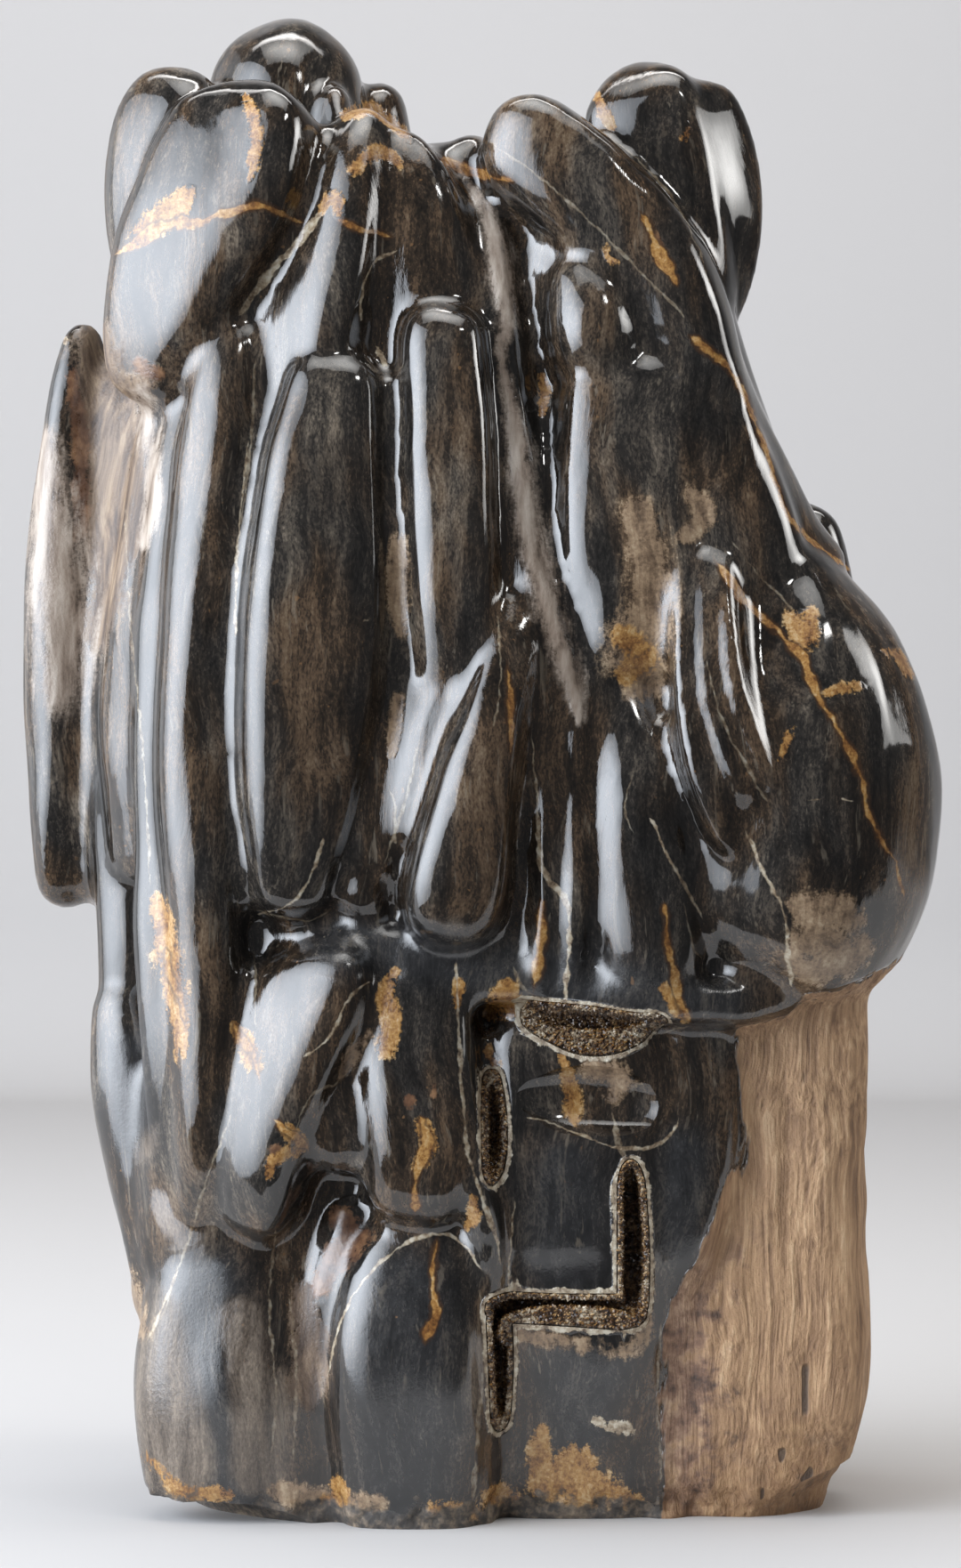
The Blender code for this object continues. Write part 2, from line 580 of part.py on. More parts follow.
def lobes_object(name, lobes, collection, ribs=RIBS, rings=RINGS, inset=0.0):
    """All the lobes as closed, overlapping shells in one object."""
    stock = unit_ball(ribs, rings)
    ball = np.empty(len(stock.vertices) * 3)
    stock.vertices.foreach_get("co", ball)
    ball = ball.reshape(-1, 3)
    mesh = bmesh.new()
    for _, facing, squareness, rows in lobes:
        points = lobe_points(ball, facing, squareness, rows, inset)
        stock.vertices.foreach_set("co", points.ravel())
        mesh.from_mesh(stock)
    bpy.data.meshes.remove(stock)
    return object_from(mesh, name, collection)


def apply_modifiers(target):
    """Replaces the mesh with the evaluated one."""
    bpy.context.view_layer.update()
    evaluated = target.evaluated_get(bpy.context.evaluated_depsgraph_get())
    data = bpy.data.meshes.new_from_object(evaluated)
    target.modifiers.clear()
    target.data = data


def remesh(target, voxel):
    modifier = target.modifiers.new("fuse", "REMESH")
    modifier.mode = "VOXEL"
    modifier.voxel_size = voxel
    apply_modifiers(target)


def swell(target, distance):
    """Moves the whole surface outward, or inward below zero."""
    modifier = target.modifiers.new("swell", "DISPLACE")
    modifier.mid_level = 0.0
    modifier.strength = distance
    apply_modifiers(target)


def smooth(target, passes):
    modifier = target.modifiers.new("smooth", "SMOOTH")
    modifier.factor = 0.5
    modifier.iterations = passes
    apply_modifiers(target)


def thin_out(target, facets):
    modifier = target.modifiers.new("thin", "DECIMATE")
    modifier.ratio = facets / sum(len(p.vertices) - 2 for p in target.data.polygons)
    modifier.use_collapse_triangulate = True
    apply_modifiers(target)


def boolean(target, cutter, operation):
    modifier = target.modifiers.new(operation.lower(), "BOOLEAN")
    modifier.operation = operation
    modifier.solver = "EXACT"
    modifier.object = cutter
    apply_modifiers(target)


def keep_largest_shell(target):
    """Drops the small closed pockets left where lobes meet."""
    mesh = bmesh.new()
    mesh.from_mesh(target.data)
    unseen = set(mesh.verts)
    shells = []
    while unseen:
        queue = [unseen.pop()]
        shell = list(queue)
        while queue:
            vertex = queue.pop()
            for edge in vertex.link_edges:
                other = edge.other_vert(vertex)
                if other in unseen:
                    unseen.remove(other)
                    queue.append(other)
                    shell.append(other)
        shells.append(shell)
    shells.sort(key=len)
    for shell in shells[:-1]:
        bmesh.ops.delete(mesh, geom=shell, context="VERTS")
    mesh.to_mesh(target.data)
    mesh.free()


def close_specks(target):
    """Closes up edges too short to matter, left where two cuts meet."""
    mesh = bmesh.new()
    mesh.from_mesh(target.data)
    bmesh.ops.triangulate(mesh, faces=mesh.faces)
    bmesh.ops.remove_doubles(mesh, verts=mesh.verts, dist=SPECK)
    bmesh.ops.dissolve_degenerate(mesh, edges=mesh.edges, dist=SPECK)
    mesh.to_mesh(target.data)
    mesh.free()


def as_cutter(target):
    target.hide_render = True
    target.display_type = "WIRE"


def ground_block(collection):
    """Everything below the resting plane."""
    mesh = bmesh.new()
    made = bmesh.ops.create_cube(mesh, size=1.0)
    for vertex in made["verts"]:
        vertex.co.x *= GROUND_SIZE
        vertex.co.y *= GROUND_SIZE
        vertex.co.z = (vertex.co.z - 0.5) * GROUND_DEPTH
    block = object_from(mesh, "ground_block", collection)
    as_cutter(block)
    return block


def cut_away(target, lobes, collection):
    for lobe in lobes:
        cutter = lobes_object(lobe[0], [lobe], collection,
                              HOLLOW_RIBS, HOLLOW_RINGS)
        as_cutter(cutter)
        boolean(target, cutter, "DIFFERENCE")


def fused_trunk(collection, cutters):
    lobes = (CORE_LOBES + CROWN_LOBES + MIDDLE_LOBES + LEFT_LOBES
             + LOWER_LOBES + back_lobes())
    trunk = lobes_object("petrified_wood", lobes, collection)
    for distance in (FILLET, -FILLET):
        remesh(trunk, GRAIN)
        swell(trunk, distance)
    remesh(trunk, GRAIN)
    keep_largest_shell(trunk)
    smooth(trunk, SMOOTHING_PASSES)
    thin_out(trunk, FACETS)
    cut_away(trunk, SCOOPS + BASE_CHIPS, cutters)
    boolean(trunk, ground_block(cutters), "DIFFERENCE")
    close_specks(trunk)
    keep_largest_shell(trunk)
    return trunk


def hollow_shape(name, lobes, collection, inset=0.0, reach=0.0):
    """One closed shape for a hollow, drawn out through its mouth by reach."""
    shape = None
    for part, facing, squareness, rows in lobes:
        drawn = [(x, y - reach, z, w, d + reach * 0.5)
                 for x, y, z, w, d in rows]
        piece = lobes_object(name, [(part, facing, squareness, drawn)],
                             collection, HOLLOW_RIBS, HOLLOW_RINGS, inset)
        if shape is None:
            shape = piece
        else:
            boolean(shape, piece, "UNION")
            bpy.data.objects.remove(piece, do_unlink=True)
    shape.name = name
    return shape


def crust(name, lobes, blank, collection, cutters):
    """Lining of a hollow, open at the mouth, with its mound if it has one."""
    lining = hollow_shape(name, lobes, collection, WALL_GAP / MM)
    core = hollow_shape(name + "_core", lobes, cutters,
                        (WALL_GAP + CRUST_THICKNESS) / MM, MOUTH_REACH / MM)
    as_cutter(core)
    if name in MOUNDS:
        mound = lobes_object(name + "_mound", MOUNDS[name], cutters,
                             HOLLOW_RIBS, HOLLOW_RINGS)
        as_cutter(mound)
        boolean(core, mound, "DIFFERENCE")
    boolean(lining, core, "DIFFERENCE")
    boolean(lining, blank, "INTERSECT")
    keep_largest_shell(lining)
    return lining


def main():
    clear_objects()
    collection = new_collection("petrified_wood")
    cutters = new_collection("cutters")
    stone = plain_material("stone", STONE_COLOUR, STONE_ROUGHNESS)
    crystal = plain_material("crystal", CRUST_COLOUR, CRUST_ROUGHNESS)

    trunk = fused_trunk(collection, cutters)
    blank = trunk.copy()
    blank.data = trunk.data.copy()
    blank.name = "uncut_body"
    cutters.objects.link(blank)
    as_cutter(blank)

    for name, lobes in HOLLOWS.items():
        lining = crust(name, lobes, blank, collection, cutters)
        lining.data.materials.append(crystal)
        hollow = hollow_shape(name + "_hollow", lobes, cutters)
        as_cutter(hollow)
        boolean(trunk, hollow, "DIFFERENCE")
    keep_largest_shell(trunk)
    trunk.data.materials.append(stone)


main()
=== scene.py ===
"""Petrified wood: the look of one free-standing polished piece of fossil trunk.

The lobes, cuts and hollows are the solids' own rows, in millimetres, drawn
finer. Colour follows the stone: near-black polished silica with a brown
upright grain, gold and cream seams, granular tan patches and a raw post.
"""

import json
import math
import random

import bmesh
import bpy
import numpy as np
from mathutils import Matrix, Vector, noise
from mathutils.bvhtree import BVHTree

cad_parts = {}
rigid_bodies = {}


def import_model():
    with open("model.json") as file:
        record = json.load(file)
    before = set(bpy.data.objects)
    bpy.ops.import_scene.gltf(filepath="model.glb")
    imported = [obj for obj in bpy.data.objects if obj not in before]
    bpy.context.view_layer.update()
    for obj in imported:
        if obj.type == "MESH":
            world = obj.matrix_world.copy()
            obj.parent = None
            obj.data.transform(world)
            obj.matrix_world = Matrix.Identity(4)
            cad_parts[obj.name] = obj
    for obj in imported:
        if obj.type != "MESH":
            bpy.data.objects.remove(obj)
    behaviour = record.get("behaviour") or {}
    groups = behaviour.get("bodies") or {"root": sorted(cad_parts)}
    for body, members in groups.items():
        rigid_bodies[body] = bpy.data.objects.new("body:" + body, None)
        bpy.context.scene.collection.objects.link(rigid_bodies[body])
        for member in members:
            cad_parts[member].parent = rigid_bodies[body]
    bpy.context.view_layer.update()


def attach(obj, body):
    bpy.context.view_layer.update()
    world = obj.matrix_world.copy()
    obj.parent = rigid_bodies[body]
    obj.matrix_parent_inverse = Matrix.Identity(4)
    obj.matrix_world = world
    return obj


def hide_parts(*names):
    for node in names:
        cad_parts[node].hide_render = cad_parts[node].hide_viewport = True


MM = 0.001

# The camera, level and straight on
CAMERA_DISTANCE = 1.350
CAMERA_HEIGHT = 0.219
LENS = 99.46
SENSOR = 36.0

# The drawn-out body
GRAIN = 0.0015
SMOOTHING_PASSES = 4
FILLET = 0.0022
TRIANGLE_BUDGET = 192000

# The crusts
WALL_GAP = 0.0003
WALL_SHARE = 0.2
CRUST_THICKNESS = 0.0013
MOUTH_REACH = 0.004
CRUST_GRAIN = 0.0005
CRYSTAL_SIZE = (0.7, 1.5)
CRYSTAL_SPACING = 0.0009
CRYSTAL_SIDES = 5
CRYSTAL_SINK = 0.25
CRYSTAL_LEAN = 0.35
# Height and radius of a crystal's two rings of corners, and how uneven they and
# its point are, as shares of its size
CRYSTAL_RINGS = [(-0.6, 0.45), (0.35, 0.5)]
CRYSTAL_UNEVEN = (0.85, 1.1)
CRYSTAL_TIP = (0.65, 0.95)
CRYSTAL_TIP_SHIFT = 0.15

# Shape of each lobe's mesh, and of each hollow's
RIBS = 28
RINGS = 44
HOLLOW_RIBS = 20
HOLLOW_RINGS = 26
THINNEST = 0.2

# The resting face
GROUND_SIZE = 0.400
GROUND_DEPTH = 0.100

# Depth of the plane that the markings are laid out on, in front of the trunk, and
# the depths between which they end round the sides, all in millimetres
MARKING_PLANE = -80.0
MARKING_END = (20.0, 45.0)
# They also end where the surface turns from the camera, by the cosine of its turn
FACING_END = (-0.15, 0.1)

# How far from a seam its half width is kept, and the furthest offset kept
SEAM_CLEAR = 3.5
SEAM_FAR = 12.0
NOWHERE = 1e9

# Cream rim round each hollow's mouth
RIM_WIDTH = 0.0024

# Slow bends of the whole surface: reach and size in metres, shift
SWAYS = [(0.0016, 0.045, 1.0), (0.0008, 0.019, 23.0)]
SWAY_STRETCH = 0.7
SWAY_TURN = 5.0

# Relief of the polish, the raw wood and the broken foot, in layers: height and
# size in metres, stretch along the trunk, shift
WAVES = [(0.0013, 0.030, 0.45, 3.0), (0.00058, 0.013, 0.32, 7.0), (0.00016, 0.0055, 0.15, 13.0)]
FIBRES = [(0.0011, 0.0055, 0.10, 11.0), (0.00088, 0.010, 0.7, 17.0)]
RUBBLE = [(0.0017, 0.007, 1.0, 29.0), (0.00102, 0.003, 1.0, 31.0)]
RUBBLE_SINK = 0.00085
RAW_SINK = 0.0004
# Heights in metres between which the sway and the relief set in, and the broken
# foot gives way to the polish in shape and in colour
SWAY_FROM = (0.002, 0.020)
RELIEF_FROM = (0.0005, 0.003)
BROKEN_TO = (0.0056, 0.0104)
FOOT_BREAK = (0.0075, 0.0035)
# The raw wood, in millimetres: how far back it goes, the range of the field that
# measures it, and where the relief turns to fibres
RAW_BACK = 38.0
RAW_RANGE = (-8.0, 30.0)
RAW_FROM = (-1.0, 1.5)
# Turns in the surface past this many degrees are shaded as sharp edges
SHARP_ANGLE = 38.0

# Noises that the stone's colours and relief share: stretch along the trunk, scale,
# detail and roughness. The crumbs have no stretch.
GRAIN_NOISES = {
    "fine": (0.12, 620.0, 4.0, 0.6), "grain": (0.4, 1500.0, 2.0, 0.7),
    "streaks": (0.12, 230.0, 5.0, 0.65), "threads": (0.045, 330.0, 4.0, 0.6),
    "fibres": (0.03, 900.0, 3.0, 0.6), "cracks": (0.05, 260.0, 1.0, 0.4),
    "clouds": (0.4, 38.0, 5.0, 0.6), "hues": (0.3, 55.0, 3.0, 0.5)}
CRUMB_NOISES = {
    "specks": (900.0, 3.0, 0.7), "crumbs": (420.0, 3.0, 0.6), "lumps": (150.0, 4.0, 0.6)}
DRIFT_SCALE = 28.0
DRIFT_REACH = 0.012

RAW_ROUGHNESS = 0.78
STUDIO_ROUGHNESS = 0.9
RELIEF_HEIGHT = 0.0005
STONE_IOR = 1.80
CRYSTAL_IOR = 1.55
CRYSTAL_ROUGHNESS = 0.28

# How seams waver and swell: scale, detail and roughness of the noise and its reach
SEAM_WOBBLE = (240.0, 3.0, 0.6)
SEAM_WOBBLE_REACH = 1.1
SEAM_SWELL = (130.0, 2.0)
SEAM_SWELL_RANGE = (0.32, 0.68, 0.2, 1.05)

# Colour ramps as (place on the ramp, (red, green, blue))
STONE_STOPS = [
    (0.36, (0.0042, 0.0040, 0.0038)), (0.45, (0.0125, 0.0115, 0.0105)),
    (0.52, (0.031, 0.027, 0.0235)), (0.58, (0.080, 0.067, 0.053)),
    (0.66, (0.22, 0.18, 0.138))]
DUSTY_STOPS = [
    (0.36, (0.020, 0.014, 0.010)), (0.46, (0.062, 0.046, 0.034)),
    (0.54, (0.135, 0.104, 0.077)), (0.64, (0.27, 0.215, 0.16))]
UMBER_STOPS = [
    (0.36, (0.005, 0.004, 0.0034)), (0.45, (0.015, 0.011, 0.008)),
    (0.52, (0.042, 0.028, 0.018)), (0.58, (0.110, 0.070, 0.042)),
    (0.66, (0.19, 0.14, 0.090))]
SLATE_STOPS = [
    (0.36, (0.008, 0.008, 0.0082)), (0.46, (0.017, 0.017, 0.0175)),
    (0.53, (0.031, 0.030, 0.030)), (0.60, (0.068, 0.062, 0.055)),
    (0.68, (0.17, 0.15, 0.12))]
GOLD_STOPS = [
    (0.36, (0.040, 0.018, 0.008)), (0.46, (0.21, 0.090, 0.024)),
    (0.54, (0.41, 0.22, 0.065)), (0.64, (0.60, 0.44, 0.24))]
GOLD_BORDER = (0.060, 0.028, 0.012, 1.0)
TAN_STOPS = [
    (0.36, (0.038, 0.022, 0.013)), (0.45, (0.145, 0.092, 0.053)),
    (0.54, (0.31, 0.210, 0.125)), (0.64, (0.52, 0.405, 0.27))]
RUST_STOPS = [
    (0.32, (0.040, 0.017, 0.010)), (0.50, (0.135, 0.066, 0.035)),
    (0.68, (0.28, 0.155, 0.080))]
CREAM_STOPS = [
    (0.34, (0.12, 0.080, 0.048)), (0.45, (0.32, 0.24, 0.155)),
    (0.55, (0.50, 0.42, 0.30)), (0.68, (0.68, 0.62, 0.50))]
WOOD_STOPS = [
    (0.34, (0.050, 0.027, 0.015)), (0.46, (0.120, 0.075, 0.045)),
    (0.56, (0.205, 0.138, 0.086)), (0.68, (0.33, 0.240, 0.155))]
BLADE_STOPS = [
    (0.32, (0.12, 0.085, 0.060)), (0.42, (0.24, 0.180, 0.135)),
    (0.54, (0.37, 0.300, 0.240)), (0.68, (0.52, 0.450, 0.38))]
RAW_STOPS = [
    (0.32, (0.100, 0.047, 0.021)), (0.43, (0.265, 0.146, 0.069)),
    (0.54, (0.48, 0.290, 0.150)), (0.66, (0.69, 0.48, 0.285))]
BLUSH_STOPS = [
    (0.36, (0.045, 0.023, 0.014)), (0.48, (0.22, 0.120, 0.072)),
    (0.62, (0.45, 0.300, 0.19))]
HONEY_STOPS = [
    (0.30, (0.060, 0.026, 0.010)), (0.50, (0.24, 0.12, 0.045)),
    (0.70, (0.42, 0.25, 0.11))]
CRACK = (0.030, 0.016, 0.009, 1.0)
BROKEN_STOPS = [
    (0.36, (0.012, 0.010, 0.009)), (0.47, (0.055, 0.044, 0.034)),
    (0.56, (0.16, 0.120, 0.082)), (0.68, (0.34, 0.27, 0.185))]
CRYSTAL_STOPS = [
    (0.36, (0.016, 0.009, 0.006)), (0.48, (0.052, 0.028, 0.015)),
    (0.58, (0.13, 0.078, 0.040)), (0.68, (0.28, 0.18, 0.095))]
FLECK = (0.24, 0.20, 0.15, 1.0)
MOTE = (0.30, 0.16, 0.07, 1.0)

# The studio: a floor that sweeps up into a wall, and soft panels of light, brighter
# in the middle: name, place, target, size in metres, watts and colour
STAGE_FRONT = 0.20
STAGE_WIDTH = 7.0
WALL_DEPTH = 1.75
WALL_HEIGHT = 3.2
COVE = 0.12
COVE_STEPS = 8
SOFT_WHITE = (1.0, 0.99, 0.97)
LIGHTS = [
    ("left_panel", (-1.25, -0.62, 0.55), (0.0, 0.0, 0.24), (2.2, 2.0), 68,
     (0.85, 0.91, 1.0)),
    ("left_behind", (-1.30, 0.62, 0.55), (0.0, 0.0, 0.24), (1.2, 1.8), 6,
     (0.90, 0.94, 1.0)),
    ("top_right", (0.60, -0.75, 1.20), (0.0, 0.0, 0.28), (0.16, 0.12), 1.2, SOFT_WHITE),
    ("right_panel", (1.15, -0.08, 0.76), (0.0, 0.0, 0.30), (0.55, 0.62), 5.5, SOFT_WHITE),
    ("overhead", (0.0, -0.25, 1.55), (0.0, 0.0, 0.2), (1.3, 1.0), 11, SOFT_WHITE),
    ("wall_wash", (0.0, 0.5, 2.2), (0.0, 1.7, 0.7), (2.6, 0.5), 25,
     (1.0, 0.97, 0.95))]
# From the first distance out of a panel's middle to the second, its strength goes
# from the third number to the fourth
PANEL_FADE = (0.60, 0.05, 0.40, 1.7)
WORLD_COLOUR = (0.50, 0.50, 0.52, 1.0)
WORLD_STRENGTH = 0.16
STUDIO_COLOUR = (0.575, 0.565, 0.560, 1.0)

# Markings, laid out on the marking plane in millimetres. A seam is a line of
# (across, height, half width); a patch is a line of (across, height, radius).
GOLD_SEAMS = [
    [(-106, 375, 1.2), (-100, 378, 2.4), (-94, 382, 3.0), (-88, 384, 3.2), (-82, 384, 2.4),
     (-76, 386, 1.6), (-70, 388, 1.4), (-64, 388.5, 1.2), (-58, 386, 1.0), (-53, 384, 0.8)],
    [(-41, 384, 1.0), (-36, 382, 1.4), (-30, 380.5, 0.9), (-27, 379.5, 0.5)],
    [(-11, 402, 1.0), (-4, 399, 1.8), (3, 397, 1.4), (9, 396, 0.7)],
    [(47, 386, 0.8), (50, 381, 1.8), (52, 375, 2.3), (55, 370, 2.0), (57, 366, 1.0)],
    [(62, 350, 0.8), (66, 347, 1.7), (70, 343, 2.0), (74, 339, 1.7), (78, 331, 0.9), (80, 326, 0.7),
     (83, 319, 1.0), (86, 309, 1.2), (89, 300, 0.9), (95, 292, 0.8), (103, 286, 0.8),
     (109, 281, 0.6)],
    [(70, 283, 0.8), (73, 279, 1.4), (76, 274, 1.8), (81, 269, 1.4), (86, 265, 1.2), (91, 260, 1.2),
     (95, 255, 1.6), (98, 247, 1.6), (101, 241, 1.4), (105, 235, 1.4), (109, 227, 1.5),
     (112, 219, 1.4), (113, 212, 1.1), (116, 206, 0.8), (119, 200, 0.8), (122, 196, 0.5),
     (123, 190, 0.4), (124, 186, 0.3)],
    [(54, 184, 0.7), (55, 172, 1.0), (57, 163, 1.4), (58, 156, 1.8), (61, 150, 0.8)],
    [(-72, 148, 0.8), (-70, 144, 1.7), (-67, 141, 2.4), (-66, 137, 1.8), (-65, 133, 0.8)],
    [(-92, 170, 0.8), (-91, 163, 1.5), (-88, 157, 1.3), (-87, 150, 0.8)],
    [(-60, 120, 0.8), (-56, 117, 1.7), (-52, 113, 1.9)],
    [(-17, 120, 1.6), (-15, 114, 2.4), (-18, 108, 1.9), (-19, 102, 0.8), (-19, 95, 1.4)],
    [(-13, 84, 0.8), (-14, 77, 1.2), (-14, 70, 1.1), (-13, 64, 1.6), (-15, 60, 2.0), (-16, 56, 0.9)],
    [(8, 252, 0.7), (9, 240, 0.9), (9, 229, 0.7)],
    [(18, 184, 1.2), (17.5, 175, 1.7), (17, 168, 1.5), (16, 161, 1.0)],
]

CREAM_SEAMS = [
    [(-24, 375.5, 0.4), (-29, 373.5, 0.6), (-33, 369, 0.5), (-35, 362, 0.4), (-35, 355, 0.3)],
    [(-47, 386, 1.2), (-52, 380, 1.7), (-58, 373, 1.9), (-64, 366, 1.7), (-70, 357, 1.0)],
    [(78, 205, 0.5), (81, 198, 0.7), (84, 191, 0.8), (88, 184, 0.9), (90, 177, 1.1), (90, 170, 1.2),
     (91, 163, 1.0), (91, 160, 0.6)],
    [(50, 209, 0.4), (56, 196, 0.4), (61, 187, 0.5), (65, 180, 0.3)],
    [(15, 232, 0.5), (16, 221, 0.8), (17, 210, 0.8), (17, 200, 0.9), (18, 194, 1.1), (21, 190, 1.4),
     (24, 186, 1.3), (26, 180, 1.2), (26, 170, 1.1), (25, 160, 0.8), (25, 155, 0.6)],
    [(-68, 320, 0.3), (-70, 302, 0.5), (-71.5, 282, 0.5), (-72, 262, 0.4)],
    [(-46, 204, 0.5), (-48, 196, 0.6), (-52, 188, 0.6), (-57, 183, 0.5), (-65, 181, 0.4)],
    [(-52, 139, 0.4), (-46, 143, 0.6), (-43, 147, 0.6), (-40, 153, 0.6), (-37, 158, 0.5),
     (-33, 161, 0.4)],
    [(-7, 166, 0.7), (-6.5, 152, 1.0), (-6, 138, 0.7), (-5, 125, 0.7), (-4, 112, 0.7),
     (-1, 102, 0.8), (1, 96, 1.0), (4, 88, 0.9), (6, 79, 0.8)],
    [(-45, 44, 0.3), (-42, 58, 0.5), (-38, 68, 0.6), (-32, 76, 0.6), (-24, 83, 0.7), (-14, 87, 0.7),
     (-6, 85, 0.6), (0, 77, 0.5)],
    [(14, 121, 0.4), (20, 120, 0.6), (26, 117.5, 0.7), (32, 115, 0.7), (38, 113, 0.6),
     (44, 112.3, 0.7), (50, 112.5, 0.6), (54, 114.5, 0.5), (57, 117.5, 0.5), (58, 121, 0.4)],
    [(10, 97, 0.3), (9, 85, 0.4), (9, 70, 0.5), (20, 70.5, 0.5), (30, 69.5, 0.5), (39, 71, 0.5)],
    [(-89, 76, 0.4), (-93, 66, 0.6), (-98, 55, 0.5)],
    [(96, 214, 0.3), (102, 215, 0.4), (109, 214, 0.3)],
]

FAINT_SEAMS = [
    [(-94, 62, 0.3), (-86, 84, 0.5), (-80, 104, 0.6), (-73, 122, 0.4)],
    [(-60, 88, 0.4), (-62, 66, 0.5), (-60, 40, 0.5), (-62, 16, 0.4)],
    [(-56, 70, 0.3), (-54, 46, 0.5), (-55, 20, 0.4)],
    [(-104, 300, 0.3), (-103, 270, 0.5), (-100, 240, 0.6), (-98, 214, 0.5), (-97, 190, 0.4)],
    [(-66, 344, 0.3), (-67, 322, 0.5), (-70, 296, 0.4)],
    [(-18, 232, 0.3), (-22, 214, 0.5), (-28, 196, 0.4)],
    [(5, 268, 0.3), (6, 250, 0.4), (4, 236, 0.3)],
    [(66, 256, 0.3), (70, 240, 0.5), (77, 226, 0.5), (84, 214, 0.4)],
    [(36, 150, 0.3), (50, 146, 0.4), (62, 148, 0.3)],
    [(-54, 118, 0.4), (-52, 124, 0.5), (-48, 129, 0.5), (-43, 131, 0.5), (-38, 136, 0.4)],
    [(39, 122, 0.8), (40, 115, 1.0), (42, 110, 1.1), (43, 105, 0.8)],
    [(-66, 182, 0.3), (-58, 180, 0.4), (-50, 179, 0.4), (-44, 182, 0.3)],
    [(60, 184, 0.3), (62, 172, 0.5), (65, 168, 0.3)],
    [(-27, 219, 0.4), (-25, 212, 0.5), (-25, 202, 0.5)],
    [(-38, 267.5, 0.3), (-32, 266.5, 0.4)],
    [(38, 409, 0.4), (48, 400, 0.4), (56, 391, 0.4), (63, 378, 0.4), (67, 366, 0.4)],
    [(3, 407, 0.4), (12, 401, 0.5), (22, 393, 0.5), (32, 384, 0.5), (42, 374, 0.5), (52, 364, 0.5),
     (60, 356, 0.4)],
    [(74, 290, 0.3), (82, 280, 0.4), (92, 270, 0.3)],
    [(0, 70, 0.6), (1, 50, 0.6), (-1, 30, 0.8), (-2, 10, 1.0)],
    [(45, 223, 0.4), (42, 212, 0.5), (45, 204, 0.4)],
    [(-66, 166, 0.3), (-66, 156, 0.4), (-66, 148, 0.3)],
    [(53, 62, 0.4), (52, 40, 0.5), (53, 15, 0.5)],
    [(10, 165, 0.5), (12, 160, 0.8), (16, 157, 0.6), (26, 155, 0.5)],
]

GOLD_PATCHES = [
    [(-101, 380, 3), (-95, 384, 5), (-89, 388, 5), (-85, 393, 2.5)],
    [(-69, 420, 2), (-66, 412, 3), (-67, 402, 3), (-68, 396, 1.5)],
    [(-37, 399, 2.5), (-33, 403, 3), (-28, 404, 3), (-24, 401, 2)],
    [(-47, 387, 1.5), (-43, 391, 3), (-41, 386, 2.5)],
    [(-40, 415, 2), (-33, 417, 3), (-26, 413, 2.5), (-21, 408, 2)],
    [(18, 339, 1.5), (19, 333, 2.4), (18, 327, 1.4)],
    [(36, 378, 1), (38, 373, 1.8), (41, 371, 1)],
    [(61, 412, 1.5), (60, 408, 2)],
    [(34, 421, 1.5), (36, 416, 2.5), (39, 411, 1.5)],
    [(97, 269, 2.5), (95, 262, 5), (90, 270, 1.5)],
    [(100, 245, 1.2), (106, 247, 2.2), (112, 248, 1.6)],
    [(117, 258, 1), (122, 257, 2.2), (126, 251, 2)],
    [(91, 235, 2.4), (88, 226, 1.2)],
    [(42, 262, 5), (47, 256, 6), (42, 251, 4)],
    [(53, 160, 2), (57, 155, 3), (60, 150, 2)],
    [(-95, 185, 3), (-93, 176, 5), (-90, 162, 5), (-88, 148, 4), (-88, 138, 2)],
    [(-72, 148, 2), (-68, 142, 4), (-66, 136, 3)],
    [(-56, 117, 3), (-52, 113, 2.5), (-61, 108, 2.5), (-62, 103, 1.5)],
    [(-25, 164, 2), (-28, 157, 3.5), (-26, 150, 4), (-28, 142, 4)],
    [(-17, 119, 3), (-15, 113, 3.4), (-18, 107, 2.6)],
    [(-2, 98, 1.6), (-2, 92, 2.6), (-4, 89, 1.4)],
    [(-42, 14, 3), (-41, 10, 3.5), (-46, 8, 3)],
    [(-12, 4, 6), (-4, 4, 5)],
    [(5, 10, 5), (12, 7, 4)],
    [(18, 30, 2.5), (17, 22, 4.5), (20, 14, 7), (28, 22, 5), (30, 13, 8), (38, 10, 6), (45, 8, 4)],
    [(2, 141, 2.5), (4, 137, 2.8)],
    [(5, 156, 3.5), (4, 152, 4), (8, 160, 3), (9, 153, 4)],
    [(24, 139, 1.5), (26, 132, 3), (27, 127, 3.6), (27, 121, 3)],
    [(-98, 22, 2), (-88, 12, 3), (-74, 11, 3)],
    [(76, 20, 5), (84, 10, 6), (96, 14, 6), (108, 20, 4)],
    [(-6, 160, 2.5), (-7, 154, 1.5)],
]

TAN_PATCHES = [
    [(46, 300, 5), (48, 290, 7), (50, 280, 7), (49, 268, 9), (46, 258, 10), (48, 249, 7)],
    [(62, 304, 3), (66, 298, 4), (60, 292, 3)],
    [(92, 184, 3), (98, 181, 7), (104, 183, 6), (110, 179, 4)],
    [(94, 172, 5), (102, 173, 6), (108, 170, 3)],
    [(-24, 289, 3.4), (-24, 280, 4), (-24, 270, 3.4), (-23, 263, 2)],
    [(-24, 244, 2.4), (-25, 236, 3), (-26, 228, 2)],
    [(-108, 338, 3), (-102, 335, 5), (-97, 337, 4)],
    [(-37, 140, 3), (-41, 134, 2), (-33, 146, 2)],
    [(34, 135, 5), (42, 132, 4), (38, 127, 3)],
    [(48, 72, 3), (46, 54, 3), (20, 56, 3), (12, 58, 3)],
    [(-104, 70, 5), (-100, 60, 4), (-106, 80, 3)],
    [(88, 168, 3), (96, 164, 4), (108, 167, 5), (112, 172, 4)],
    [(-60, 12, 3), (-52, 10, 4), (-30, 8, 3)],
]

